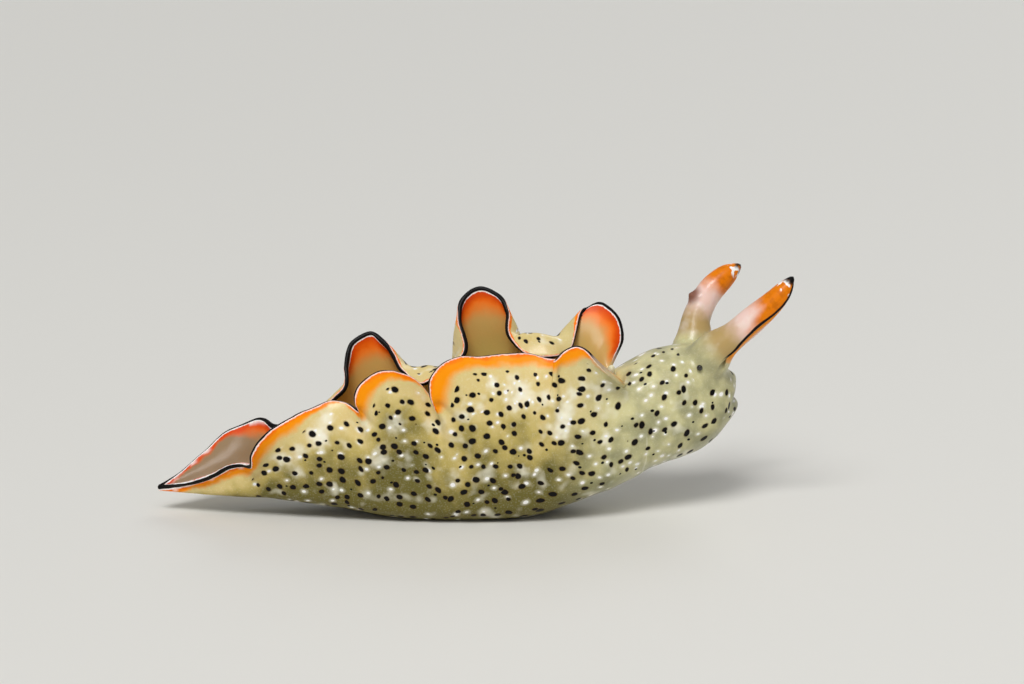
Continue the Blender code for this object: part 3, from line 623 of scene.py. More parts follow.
@dataclass
class SlugBody:
    """The body and its frills as one grid of skin, with the small forms pressed into it."""

    plan: BodyPlan = field(default_factory=BodyPlan)
    frills: tuple[FrillPlan, FrillPlan] = (
        FrillPlan(Side.RIGHT, 12.0, 40.0, RIGHT_LOBES, tail_turn=0.22),
        FrillPlan(Side.LEFT, 11.7, 60.0, LEFT_LOBES),
    )
    steps: RingSteps = RingSteps()
    face: FacePlan = FacePlan()
    rows: int = 450
    face_rows: int = 36
    hem_share: float = 0.35
    dotless_hem: float = 0.45
    dotless_glow: float = 1.0
    dotless_tail: float = -17.5
    lump_height: float = 0.09
    lump_size: float = 2.2
    ripple_height: float = 0.03
    ripple_size: float = 0.8
    tail_round: float = 0.16
    sheet_crowding: float = 1.3
    root_reach: float = 6.0
    root_passes: int = 40
    valley_passes: int = 30
    tail_turn_start: float = -15.8
    dot_fade: float = 0.7
    dot_fade_tail: float = 2.5
    neck_start: float = 4.5
    neck_length: float = 7.0
    sides_apart: float = 30.0
    foot_free: float = 0.8
    far_shift: float = -1.7
    cap_rings: int = 5
    heart_station: float = 4.8
    heart_size: tuple[float, float, float] = (3.0, 1.5, 1.0)
    creases: tuple[Crease, ...] = (
        Crease(Side.RIGHT, ((6.1, 12.0), (6.0, 10.6), (6.25, 9.2), (6.1, 7.6)), 0.32, 0.3),
        Crease(Side.RIGHT, ((-3.0, 9.2), (-2.3, 8.8), (-1.4, 7.9), (0.2, 7.2)), 0.35, 0.32),
        Crease(Side.RIGHT, ((-8.4, 8.9), (-7.9, 8.0), (-7.2, 7.0)), 0.35, 0.25),
        Crease(Side.RIGHT, ((6.6, 6.6), (7.1, 5.4), (6.5, 4.2)), 0.4, 0.15),
        Crease(Side.RIGHT, ((12.6, 9.6), (12.75, 7.4), (12.1, 4.6), (11.9, 3.2)), 0.22, 0.1),
        Crease(Side.LEFT, ((6.4, 12.0), (6.3, 10.4), (6.6, 8.6)), 0.35, 0.25),
        Crease(Side.LEFT, ((-1.8, 10.4), (-1.5, 8.8), (-0.6, 7.2)), 0.35, 0.25),
        Crease(Side.LEFT, ((-9.8, 8.6), (-9.4, 7.2), (-8.8, 6.0)), 0.35, 0.2),
        Crease(Side.LEFT, ((12.8, 10.4), (12.9, 8.0), (12.3, 4.8)), 0.22, 0.1),
    )
    clouds: tuple[Cloud, ...] = (
        Cloud(6.1, 7.0, 0.85, 1.0),
        Cloud(6.4, 8.3, 0.7, 0.9),
        Cloud(6.8, 9.6, 0.55, 0.8),
        Cloud(3.2, 9.4, 1.1, 0.8),
        Cloud(5.0, 9.3, 0.65, 0.8),
        Cloud(1.27, 10.3, 0.5, 1.0),
        Cloud(-0.8, 8.1, 0.5, 1.0),
        Cloud(0.3, 8.8, 0.45, 0.8),
        Cloud(9.4, 9.9, 0.5, 0.8),
        Cloud(9.3, 6.3, 0.7, 0.6),
        Cloud(3.3, 4.1, 0.5, 0.8),
        Cloud(-2.6, 7.35, 0.75, 0.6),
        Cloud(-1.5, 3.4, 0.6, 0.5),
        Cloud(-6.8, 5.0, 0.95, 0.7),
        Cloud(-5.8, 7.4, 0.8, 0.7),
        Cloud(-7.9, 7.4, 0.55, 0.7),
        Cloud(-11.1, 6.3, 0.9, 1.0),
        Cloud(-10.6, 7.7, 0.6, 0.8),
        Cloud(-12.6, 5.3, 0.55, 0.8),
        Cloud(-13.8, 4.7, 0.6, 0.9),
        Cloud(-12.9, 3.8, 0.5, 0.7),
        Cloud(14.6, 8.6, 0.7, 0.5),
        Cloud(15.6, 9.4, 0.5, 0.5),
    )

    def places(self) -> np.ndarray:
        """Gives the rows' places along X, close together where a hem runs fast."""
        fine = np.linspace(self.plan.tail_tip, self.plan.face_start, 5000)
        travel = np.diff(fine)
        for frill in self.frills:
            hem = frill.hem_rows(fine)[:, :3]
            shown = frill.shown(fine[1:])
            travel = travel + self.hem_share * shown * np.linalg.norm(np.diff(hem, axis=0), axis=1)
        travelled = np.concatenate([[0], np.cumsum(travel)])
        body = np.interp(np.linspace(0, travelled[-1], self.rows), travelled, fine)
        turns = np.linspace(0, math.pi / 2, self.face_rows)[1:]
        face = self.plan.face_start + (self.plan.nose - self.plan.face_start) * np.sin(turns)
        return np.concatenate([body, face])

    def half(self, frill: FrillPlan, xs: np.ndarray) -> SkinGrid:
        """Builds one side of the skin, from the middle of the sole to the middle of the back.

        Args:
            frill: That side's frill.
            xs: The rows' places along X.

        Returns:
            The side's points and marks.
        """
        steps, side = self.steps, frill.side
        sections = self.plan.sections(xs)
        sheet = FrillSheet(frill, self.plan, xs)
        root = frill.root_degrees(xs)[:, None]
        share = np.linspace(0, 1, steps.belly + 1)[:-1]
        belly_degrees = -90 + (root + 90) * share
        belly = sections.place(*sections.outline(belly_degrees), side)
        v = (1 - (1 - np.linspace(0, 1, steps.sheet)) ** self.sheet_crowding) * np.ones_like(root)
        outer, inner = sheet.face(v, False), sheet.face(v, True)[:, ::-1]
        rising = np.concatenate([outer, sheet.rim(steps.rim), inner], axis=1)
        valley = inner[:, -1] - sections.centre
        valley_out = (valley * sections.left * side.value).sum(axis=1)[:, None]
        valley_rise = (valley * sections.up).sum(axis=1)[:, None]
        across = np.linspace(1, 0, steps.back + 1)[1:]
        swell = np.cos(across * math.pi / 2) ** 2
        rise = valley_rise + (sections.half_height[:, None] - valley_rise) * swell
        back = sections.place(valley_out * across, rise, side)
        frilled = np.concatenate([rising, back], axis=1)
        count = frilled.shape[1]
        plain_degrees = root + (90 - root) * np.linspace(0, 1, count)
        plain = sections.place(*sections.outline(plain_degrees), side)
        shown = frill.shown(xs)[:, None]
        upper = plain + (frilled - plain) * shown[..., None]
        points = np.concatenate([belly, upper], axis=1)
        points[..., 2] = np.maximum(points[..., 2], 0.0)
        low = np.zeros(points.shape[:2])
        low[:, :steps.belly] = (root - belly_degrees) / (root + 90)
        points = self.soften_root(points)
        marks = self.half_marks(points, frill, shown, sections, sheet.glow[:, None])
        marks[Mark.LOW] = low
        marks[Mark.GLOW] = sheet.glow[:, None] * np.ones_like(low)
        return SkinGrid(points, marks)

    def soften_root(self, points: np.ndarray) -> np.ndarray:
        """Rounds the bend where the frill leaves the flank, and where it meets the back."""
        steps = self.steps
        column = np.arange(points.shape[1])
        valley = steps.belly + 2 * steps.sheet + steps.rim
        for centre, passes in ((steps.belly, self.root_passes), (valley, self.valley_passes)):
            near = np.exp(-(((column[1:-1] - centre) / self.root_reach) ** 4))
            share = 0.5 * near[None, :, None]
            for _ in range(passes):
                even = (points[:, :-2] + points[:, 2:]) / 2
                points[:, 1:-1] += (even - points[:, 1:-1]) * share
        return points

    def half_marks(self, points: np.ndarray, frill: FrillPlan, shown: np.ndarray,
                   sections: Sections, glow: np.ndarray) -> dict:
        """Works out what the finish has to know at each point of one side.

        The distance from the hem is below zero on the outer face and above zero on the inner one.
        ALONG and AROUND lay the skin out flat, with the middle of the flank as its zero line.

        Args:
            points: That side's points.
            frill: That side's frill.
            shown: How far the frill stands at each row.
            sections: The body's cross-sections at the rows.
            glow: How wide the orange band is at each row.

        Returns:
            The marks, by their kind.
        """
        steps = self.steps
        rim_column = steps.belly + steps.sheet + steps.rim // 2
        lengths = np.linalg.norm(np.diff(points, axis=1), axis=2)
        travelled = np.concatenate([np.zeros((len(points), 1)), np.cumsum(lengths, axis=1)], axis=1)
        from_hem = travelled - travelled[:, rim_column:rim_column + 1]
        from_hem += frill.tail_turn * smooth_step((self.tail_turn_start - points[..., 0]) / 0.8)
        column = np.arange(points.shape[1])
        row = np.arange(len(points))
        flank_column = steps.belly * 90 / (90 + frill.root_degrees(sections.xs))
        before = flank_column.astype(int)
        part = (flank_column - before)[:, None]
        flank = points[row, before] * (1 - part) + points[row, before + 1] * part
        ahead = np.cross(sections.left, sections.up)
        onward = ((points - flank[:, None]) * ahead[:, None]).sum(axis=2)
        sideways = np.sqrt(np.maximum(lengths**2 - np.diff(onward, axis=1) ** 2, 0))
        around = np.concatenate([np.zeros((len(points), 1)), np.cumsum(sideways, axis=1)], axis=1)
        around -= around[row, before][:, None] * (1 - part) + around[row, before + 1][:, None] * part
        travel = np.cumsum(np.linalg.norm(np.diff(flank, axis=0), axis=1))
        along = np.concatenate([[0], travel])
        along -= np.interp(0.0, flank[:, 0], along)
        off_middle = np.abs(((points - sections.centre[:, None]) * sections.left[:, None]).sum(axis=2))
        inside = np.clip(column - rim_column + 0.5, 0, 1) * shown
        bare = self.dotless_hem + self.dotless_glow * glow
        clear = smooth_step((-from_hem - bare) / self.dot_fade)
        on_tail = smooth_step((points[..., 0] - self.dotless_tail) / self.dot_fade_tail)
        marks = plain_marks(points.shape[:2])
        marks.update({
            Mark.HEM: from_hem,
            Mark.FRILL: shown * np.ones_like(from_hem),
            Mark.INSIDE: inside,
            Mark.DOTS: ((1 - inside) * (1 - shown * (1 - clear)) * on_tail
                        * smooth_step((off_middle - 0.05) / 0.35)),
            Mark.ALONG: along[:, None] + onward,
            Mark.AROUND: around + self.sides_apart * frill.side.value,
            Mark.NECK: smooth_step((points[..., 0] - self.neck_start) / self.neck_length),
        })
        return marks

    def cloudiness(self, points: np.ndarray) -> np.ndarray:
        """Gives how white the soft patches make each point."""
        total = np.zeros(points.shape[:-1])
        for side, shift in ((Side.RIGHT, 0.0), (Side.LEFT, self.far_shift)):
            on_side = smooth_step(points[..., 1] * side.value - 0.8)
            for cloud in self.clouds:
                away = np.hypot(points[..., 0] - cloud.x - shift, points[..., 2] - cloud.up)
                total += cloud.strength * np.exp(-((away / cloud.radius) ** 2)) * on_side
        return np.clip(total, 0, 1.2)

    def shape_details(self, grid: SkinGrid) -> None:
        """Presses the lumps, creases, lips and the heart's sac into the skin."""
        points, marks = grid.points, grid.marks
        normals = grid.normals()
        free = smooth_step(points[..., 2] / self.foot_free)
        thin = 1 - smooth_step((6.0 - np.abs(marks[Mark.HEM])) / 4.0) * 0.6
        push = soft_noise(points, self.lump_size, 5.5) * self.lump_height
        push += soft_noise(points, self.ripple_size, 23.9) * self.ripple_height
        push = push * free * thin
        outward = 1 - marks[Mark.INSIDE]
        for crease in self.creases:
            push -= crease.press(points) * outward
        points += normals * push[..., None]
        self.raise_heart(points, marks)
        self.shape_face(points)
        points[..., 2] = np.maximum(points[..., 2], 0.0)

    def raise_heart(self, points: np.ndarray, marks: dict[Mark, np.ndarray]) -> None:
        """Raises the sac over the heart on the back, and marks it with the vein mark."""
        length, width, height = self.heart_size
        sections = self.plan.sections(np.array([self.heart_station]))
        top = sections.centre[0] + sections.up[0] * sections.half_height[0]
        away = points - top
        ahead = np.cross(sections.left[0], sections.up[0])
        along, aside = (away @ ahead) / length, (away @ sections.left[0]) / width
        hump = np.clip(1 - along**2 - aside**2, 0, 1) ** 0.6 * marks[Mark.INSIDE]
        points += sections.up[0] * (height * hump)[..., None]
        marks[Mark.VEIN] = np.maximum(marks[Mark.VEIN], 0.8 * hump)

    def shape_face(self, points: np.ndarray) -> None:
        """Swells two soft lips, with a slit between them, over the groove above the foot's edge."""
        face = self.face
        sections = self.plan.sections(np.array([self.plan.nose - 0.25]))
        left, up = sections.left[0], sections.up[0]
        ahead = np.cross(left, up)
        away = points - sections.centre[0]
        aside, drop, forward = away @ left, -(away @ up), away @ ahead
        on_face = smooth_step((forward + face.reach) / 1.4)
        tall = np.exp(-(((drop - face.lip_drop) / face.lip_height) ** 2))
        lips = sum(np.exp(-(((aside - face.lip_apart * s) / face.lip_width) ** 2)) for s in (-1, 1))
        slit = np.exp(-((aside / face.slit_width) ** 2)) * np.exp(-((drop - face.lip_drop) ** 4))
        groove = np.exp(-(((drop - face.groove_drop) / face.groove_width) ** 2))
        foot = np.exp(-(((drop - face.foot_drop) / 0.5) ** 2))
        push = (face.lip_swell * lips * tall - face.slit_depth * slit
                - face.groove_depth * groove + face.foot_swell * foot)
        points += ahead * (push * on_face)[..., None]

    def grid(self) -> SkinGrid:
        """Builds the whole skin of body and frills."""
        xs = self.places()
        right, left = (self.half(frill, xs) for frill in self.frills)

        def joined(first: np.ndarray, second: np.ndarray) -> np.ndarray:
            """Joins both sides at the back."""
            return np.concatenate([first, second[:, ::-1][:, 1:]], axis=1)

        points = joined(right.points, left.points)
        marks = {kind: joined(right.marks[kind], left.marks[kind]) for kind in Mark}
        grid = SkinGrid(points, marks)
        self.shape_details(grid)
        grid.points[:, -1] = grid.points[:, 0]
        grid.marks[Mark.CLOUD] = self.cloudiness(grid.points) * (1 - grid.marks[Mark.INSIDE])
        turns = np.linspace(math.pi / 2, 0, self.cap_rings + 1)[:-1, None, None]
        middle = grid.points[:1].mean(axis=1, keepdims=True)
        backward = np.array([-self.tail_round, 0, 0])
        cap = middle + (grid.points[:1] - middle) * np.cos(turns) + backward * np.sin(turns)
        points = np.concatenate([cap, grid.points])
        marks = {kind: np.concatenate([np.repeat(mark[:1], self.cap_rings, axis=0), mark])
                 for kind, mark in grid.marks.items()}
        points[-1] = points[-1].mean(axis=0)
        return SkinGrid(points, marks)


@dataclass
class RolledFeeler:
    """A feeler: a round stem whose upper part is a sheet rolled over its own edge."""

    side: Side
    path: tuple[tuple[float, float, float], ...]
    radii: tuple[float, ...]
    groove: tuple[float, float, float]
    wall: float = 0.26
    roll: float = 0.17
    slit_degrees: float = 17.0
    overlap_degrees: float = 12.0
    solid_share: float = 0.14
    root_flare: float = 0.28
    flare_share: float = 0.42
    tip_share: float = 0.84
    twists: tuple[float, ...] = (0.0, 0.0)
    rings: int = 84
    outer_steps: int = 44
    inner_steps: int = 26
    edge_steps: int = 4

    def guides(self, along: np.ndarray) -> tuple[np.ndarray, ...]:
        """Gives each ring's middle, the two directions across it, and its radius.

        Args:
            along: Each ring's share of the way from root to tip.

        Returns:
            The middles, the directions towards the groove and beside it, and the radii.
        """
        def evenly(values: tuple) -> np.ndarray:
            """Reads values that are spread evenly from root to tip."""
            return through(np.linspace(0, 1, len(values)), values, along)

        line, radius = evenly(self.path), evenly(self.radii)
        tangent = unit(np.gradient(line, along, axis=0))
        tip = np.clip((along - self.tip_share) / (1 - self.tip_share), 0, 1)
        radius = radius * np.sqrt(np.maximum(1 - tip**2, 0.0))
        near_root = smooth_step((self.flare_share - along) / self.flare_share)
        radius = radius * (1 + self.root_flare * near_root)
        facing = np.array(self.groove)
        toward = unit(facing - tangent * (tangent @ facing)[:, None])
        beside = np.cross(tangent, toward)
        twist = np.radians(evenly(self.twists))[:, None]
        return (line, toward * np.cos(twist) + beside * np.sin(twist),
                beside * np.cos(twist) - toward * np.sin(twist), radius)

    def grid(self) -> SkinGrid:
        """Works out the feeler's rings, from inside the head to the tip.

        Returns:
            The rings, whose points run round the outer face, the free edge, the inner face and
            the lip, with their distances from both edges as marks.
        """
        along = np.linspace(0, 1, self.rings)
        line, toward, beside, radius = self.guides(along)
        depth = smooth_step((along - self.solid_share) / 0.25) * smooth_step((1 - along) / 0.05)
        depth = depth[:, None]
        slit = math.radians(self.slit_degrees)
        first = slit * (1 - depth)
        last = 2 * math.pi - slit * (1 - depth) + math.radians(self.overlap_degrees) * depth
        share = np.linspace(0, 1, self.outer_steps)
        angle = first + (last - first) * share
        swell = 1 + self.roll * (angle / math.pi - 1) * depth
        outer = self.polar(angle, swell * radius[:, None])
        wall = np.minimum(self.wall, 0.45 * radius)[:, None]
        back = share[::-1][np.linspace(0, self.outer_steps - 1, self.inner_steps).round().astype(int)]
        inner_angle = first + (last - first) * back
        inner_swell = 1 + self.roll * (inner_angle / math.pi - 1)
        inner = self.polar(inner_angle, inner_swell * radius[:, None] - wall)
        edge_turn = np.linspace(0, math.pi, self.edge_steps + 2)[1:-1]
        free_edge = self.edge(last, (1 + self.roll) * radius[:, None] - wall / 2, wall, edge_turn)
        lip_edge = self.edge(first, (1 - self.roll) * radius[:, None] - wall / 2, wall,
                             edge_turn + math.pi)
        hollow = np.concatenate([free_edge, inner, lip_edge], axis=1)
        count = hollow.shape[1]
        over = last + (first + 2 * math.pi - last) * (np.arange(count) + 1) / (count + 1)
        closed = self.polar(over, np.ones_like(over) * radius[:, None])
        hollow = closed + (hollow - closed) * depth[..., None]
        shape = np.concatenate([outer, hollow, outer[:, :1]], axis=1)
        points = line[:, None] + toward[:, None] * shape[..., :1] + beside[:, None] * shape[..., 1:]
        points[0] = points[0].mean(axis=0)
        points[-1] = points[-1].mean(axis=0)
        from_edge = np.concatenate([
            (last - angle) * radius[:, None],
            np.zeros((self.rings, self.edge_steps)),
            (last - inner_angle) * radius[:, None],
            np.full((self.rings, self.edge_steps), FAR_MM),
            (last - first) * radius[:, None]], axis=1)
        from_lip = np.concatenate([
            (angle - first) * radius[:, None],
            np.full((self.rings, self.edge_steps), FAR_MM),
            (inner_angle - first) * radius[:, None],
            np.zeros((self.rings, self.edge_steps)),
            np.zeros((self.rings, 1))], axis=1)
        rolled = depth > 0.25
        marks = plain_marks(points.shape[:2])
        marks[Mark.FEELER] = along[:, None] * np.ones(points.shape[:2])
        marks[Mark.EDGE] = np.where(rolled, from_edge, FAR_MM)
        marks[Mark.LIP] = np.where(rolled, from_lip, FAR_MM)
        return SkinGrid(points, marks)

    @staticmethod
    def polar(angle: np.ndarray, radius: np.ndarray) -> np.ndarray:
        """Gives points in the plane of a ring from an angle and a radius."""
        return np.stack([np.cos(angle), np.sin(angle)], axis=-1) * radius[..., None]

    @staticmethod
    def edge(angle: np.ndarray, radius: np.ndarray, wall: np.ndarray,
             turn: np.ndarray) -> np.ndarray:
        """Gives the points round one free edge of the rolled sheet.

        Args:
            angle: Where the edge is, for each ring.
            radius: The middle of the wall there, for each ring.
            wall: The wall's thickness, for each ring.
            turn: The angles round the edge, starting on the outer face.

        Returns:
            The points round the edge, a row for each ring.
        """
        outward = np.stack([np.cos(angle), np.sin(angle)], axis=-1)
        onward = np.stack([-np.sin(angle), np.cos(angle)], axis=-1)
        half = (wall / 2)[..., None]
        turn = turn[None, :, None]
        return (outward * radius[..., None]
                + outward * half * np.cos(turn) + onward * half * np.sin(turn))


@dataclass
class SkinKnob:
    """A small soft knob that grows on the skin, turned from its profile."""

    name: str
    root: tuple[float, float, float]
    lean: tuple[float, float, float]
    radius: float
    height: float
    marked: tuple[tuple[Mark, float], ...] = ((Mark.CLOUD, 0.5),)

    def grid(self, rings: int = 18, around: int = 20) -> SkinGrid:
        """Works out the knob's rings, from inside the skin to its top."""
        axis = Vector(self.lean).normalized()
        aside = np.array(axis.orthogonal().normalized())
        axis = np.array(axis)
        across = np.cross(axis, aside)
        turns = np.linspace(0, math.pi, rings)
        radius = self.radius * np.sin(turns) ** 0.8 * (1 + 0.35 * smooth_step(1 - turns / 1.6))
        rise = self.height * (1 - np.cos(turns)) / 2
        round_it = np.linspace(0, 2 * math.pi, around + 1)
        ring = np.cos(round_it)[:, None] * aside + np.sin(round_it)[:, None] * across
        points = (np.array(self.root) + rise[:, None, None] * axis
                  + radius[:, None, None] * ring[None])
        points[0] = points[0].mean(axis=0)
        points[-1] = points[-1].mean(axis=0)
        marks = plain_marks(points.shape[:2])
        for kind, value in self.marked:
            marks[kind] = np.full(points.shape[:2], value)
        return SkinGrid(points, marks)


@dataclass
class SlugSkin:
    """The one skin of the animal: body, frills, feelers and knobs, joined and softened."""

    body: SlugBody = field(default_factory=SlugBody)
    feelers: tuple[RolledFeeler, ...] = (
        RolledFeeler(
            Side.RIGHT,
            path=((16.0, 1.6, 9.8), (17.3, 0.9, 11.7), (18.7, 0.6, 12.9), (20.1, 0.3, 14.2),
                  (21.65, 0.1, 15.75), (22.75, 0.0, 17.4)),
            radii=(1.55, 1.3, 1.05, 1.0, 0.8, 0.42),
            groove=(0.35, -0.75, -0.55),
            twists=(10.0, -3.0, -27.0, -36.0, -18.0, 0.0)),
        RolledFeeler(
            Side.LEFT,
            path=((15.7, 3.9, 9.8), (16.0, 4.7, 11.7), (16.15, 5.3, 13.3), (16.9, 5.8, 14.9),
                  (18.2, 6.2, 16.2), (19.55, 6.4, 17.1)),
            radii=(1.5, 1.25, 1.05, 1.0, 0.85, 0.45),
            groove=(0.1, 0.95, -0.3)),
    )
    knobs: tuple[SkinKnob, ...] = (
        SkinKnob("vent_knob", (9.7, 0.5, 9.6), (0.1, -0.25, 1.0), 0.36, 1.3),
        SkinKnob("roll_corner", (16.75, 5.5, 14.55), (-0.85, -0.1, 0.4), 0.5, 1.25,
                 ((Mark.FEELER, 0.62),)),
    )
    softened: tuple[tuple[float, int], ...] = ((1.0, 5), (0.7, 8), (0.4, 10))
    flesh_nodes: tuple[str, ...] = ("head", "neck", "trunk", "foot", "tail", "pericardial_hump")

    def build(self) -> bpy.types.Object:
        """Joins the skin's parts, carries their marks over and softens where they meet.

        Returns:
            The finished skin.
        """
        grids = [self.body.grid()]
        skin = grids[0].build("slug_skin")
        others = []
        for feeler in self.feelers:
            grids.append(feeler.grid())
            others.append(grids[-1].build(f"feeler_{feeler.side.name.lower()}"))
        for knob in self.knobs:
            grids.append(knob.grid())
            others.append(grids[-1].build(knob.name))
        self.join(skin, others)
        self.keep_largest(skin.data)
        self.carry_marks(skin, grids)
        skin.data.shade_smooth()
        return skin

    @staticmethod
    def join(skin: bpy.types.Object, others: list[bpy.types.Object]) -> None:
        """Unites the skin with the closed meshes that grow on it, and removes those."""
        holder = bpy.data.collections.new("grown_on_skin")
        for other in others:
            bpy.context.scene.collection.objects.unlink(other)
            holder.objects.link(other)
        modifier = skin.modifiers.new("Grown together", "BOOLEAN")
        modifier.operation = "UNION"
        modifier.operand_type = "COLLECTION"
        modifier.collection = holder
        modifier.solver = "EXACT"
        graph = bpy.context.evaluated_depsgraph_get()
        mesh = bpy.data.meshes.new_from_object(skin.evaluated_get(graph))
        skin.modifiers.remove(modifier)
        skin.data = mesh
        for other in others:
            bpy.data.objects.remove(other)

    @staticmethod
    def keep_largest(mesh: bpy.types.Mesh) -> None:
        """Deletes the crumbs that the union leaves: every loose piece but the largest.

        Args:
            mesh: The joined skin.
        """
        bm = bmesh.new()
        bm.from_mesh(mesh)
        unseen, pieces = set(bm.verts), []
        while unseen:
            piece, front = set(), {unseen.pop()}
            while front:
                piece |= front
                front = {e.other_vert(v) for v in front for e in v.link_edges} - piece
            unseen -= piece
            pieces.append(piece)
        pieces.sort(key=len)
        crumbs = [vert for piece in pieces[:-1] for vert in piece]
        bmesh.ops.delete(bm, geom=crumbs, context="VERTS")
        bm.to_mesh(mesh)
        bm.free()
        LOG.info("crumbs left out: %d vertices", len(crumbs))

    def carry_marks(self, skin: bpy.types.Object, grids: list[SkinGrid]) -> None:
        """Gives each vertex the marks of the grid point that it came from, then softens seams."""
        places = np.concatenate([g.points.reshape(-1, 3) for g in grids])
        owners = np.concatenate([np.full(g.points[..., 0].size, i) for i, g in enumerate(grids)])
        tree, mesh = tree_of(places), skin.data
        found = [tree.find(vert.co / MM)[1:] for vert in mesh.vertices]
        nearest = np.array([index for index, _ in found])
        for kind in Mark:
            values = np.concatenate([g.marks[kind].reshape(-1) for g in grids])[nearest]
            made = mesh.attributes.new(kind.value, "FLOAT", "POINT")
            made.data.foreach_set("value", values.astype(np.float32))
        away = self.soften_seams(mesh, owners[nearest])
        dots = mesh.attributes[Mark.DOTS.value].data
        kept = np.empty(len(dots), dtype=np.float32)
        dots.foreach_get("value", kept)
        dots.foreach_set("value", kept * smooth_step((away - 0.15) / 0.5).astype(np.float32))

    def soften_seams(self, mesh: bpy.types.Mesh, owner: np.ndarray) -> np.ndarray:
        """Rounds the skin where a feeler or a knob meets it.

        Args:
            mesh: The joined skin.
            owner: The part that each vertex came from.

        Returns:
            How far each vertex is from the nearest seam, in millimetres.
        """
        bm = bmesh.new()
        bm.from_mesh(mesh)
        bm.verts.ensure_lookup_table()
        seam = [v for v in bm.verts
                if any(owner[e.other_vert(v).index] != owner[v.index] for e in v.link_edges)]
        tree = tree_of([vert.co / MM for vert in seam])
        away = np.array([tree.find(vert.co / MM)[2] for vert in bm.verts])
        for reach, passes in self.softened:
            near = [v for v in bm.verts if away[v.index] < reach]
            for _ in range(passes):
                bmesh.ops.smooth_vert(bm, verts=near, factor=0.5,
                                      use_axis_x=True, use_axis_y=True, use_axis_z=True)
        bm.to_mesh(mesh)
        bm.free()
        return away

    def dress(self, skin: bpy.types.Object, nodes: list[str]) -> None:
        """Gives the skin its finish and its place in the frame.

        Args:
            skin: The finished skin.
            nodes: All of the frame's node names.
        """
        skin.data.materials.clear()
        skin.data.materials.append(SkinFinish().make())
        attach(skin, "root")
        frills_and_feelers = [n for n in nodes if n.startswith(("parapodium_", "rhinophore_"))]
        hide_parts(*self.flesh_nodes, *frills_and_feelers)
        LOG.info("skin: %d faces", len(skin.data.polygons))


@dataclass
class SlugEye:
    """A bead of an eye, half sunk in the skin, with a clear bulge over its pupil."""

    side: Side
    radius: float = 0.22
    bulge: float = 0.04
    lift: float = 0.1

    def build(self) -> bpy.types.Object:
        """Builds the eye where the frame has its solid."""
        name = f"eye_{self.side.name.lower()}"
        low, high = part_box(name)
        outward = Vector((0.15, self.side.value, 0.55)).normalized()
        centre = (Vector(low) + Vector(high)) / 2 + outward * self.lift * MM
        bm = bmesh.new()
        bmesh.ops.create_uvsphere(bm, u_segments=32, v_segments=24, radius=self.radius * MM)
        for vert in bm.verts:
            facing = max(0.0, vert.co.normalized().z)
            vert.co *= 1 + self.bulge / self.radius * facing**6
        turn = Vector((0, 0, 1)).rotation_difference(outward).to_matrix().to_4x4()
        bmesh.ops.transform(bm, matrix=Matrix.Translation(centre) @ turn, verts=bm.verts)
        mesh = mesh_from(bm, f"{name}_bead")
        mesh.shade_smooth()
        eye = add_object(mesh.name, mesh)
        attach(eye, "root")
        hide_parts(name)
        LOG.info("%s: %d faces", eye.name, len(mesh.polygons))
        return eye


def colour(red: float, green: float, blue: float) -> tuple[float, float, float, float]:
    """Turns screen colour, 0 to 255, into the linear colour that a shader takes."""
    def linear(value: float) -> float:
        """Turns one channel."""
        value = value / 255
        return value / 12.92 if value <= 0.04045 else ((value + 0.055) / 1.055) ** 2.4

    return (linear(red), linear(green), linear(blue), 1.0)


class Wire:
    """A value that flows through a node tree, ready for plain arithmetic."""

    def __init__(self, graph: "Graph", socket: bpy.types.NodeSocket) -> None:
        """Keeps the output that gives the value."""
        self.graph, self.socket = graph, socket

    def __add__(self, other: object) -> "Wire":
        """Adds a value."""
        return self.graph.math("ADD", self, other)

    def __sub__(self, other: object) -> "Wire":
        """Takes a value away."""
        return self.graph.math("SUBTRACT", self, other)

    def __rsub__(self, other: object) -> "Wire":
        """Takes this value away from a number."""
        return self.graph.math("SUBTRACT", other, self)

    def __mul__(self, other: object) -> "Wire":
        """Multiplies by a value."""
        return self.graph.math("MULTIPLY", self, other)

    def __truediv__(self, other: object) -> "Wire":
        """Divides by a value."""
        return self.graph.math("DIVIDE", self, other)

    def __rtruediv__(self, other: object) -> "Wire":
        """Divides a number by this value."""
        return self.graph.math("DIVIDE", other, self)

    def most(self, other: object) -> "Wire":
        """Takes the larger of two values."""
        return self.graph.math("MAXIMUM", self, other)

    def rise(self, start: object, end: object, low: float = 0.0, high: float = 1.0) -> "Wire":
        """Rises smoothly from low, where the value is start, to high, where it is end."""
        node = self.graph.add("ShaderNodeMapRange", interpolation_type="SMOOTHSTEP")
        for number, socket in zip((self, start, end, low, high), node.inputs):
            self.graph.put(number, socket)
        return Wire(self.graph, node.outputs[0])


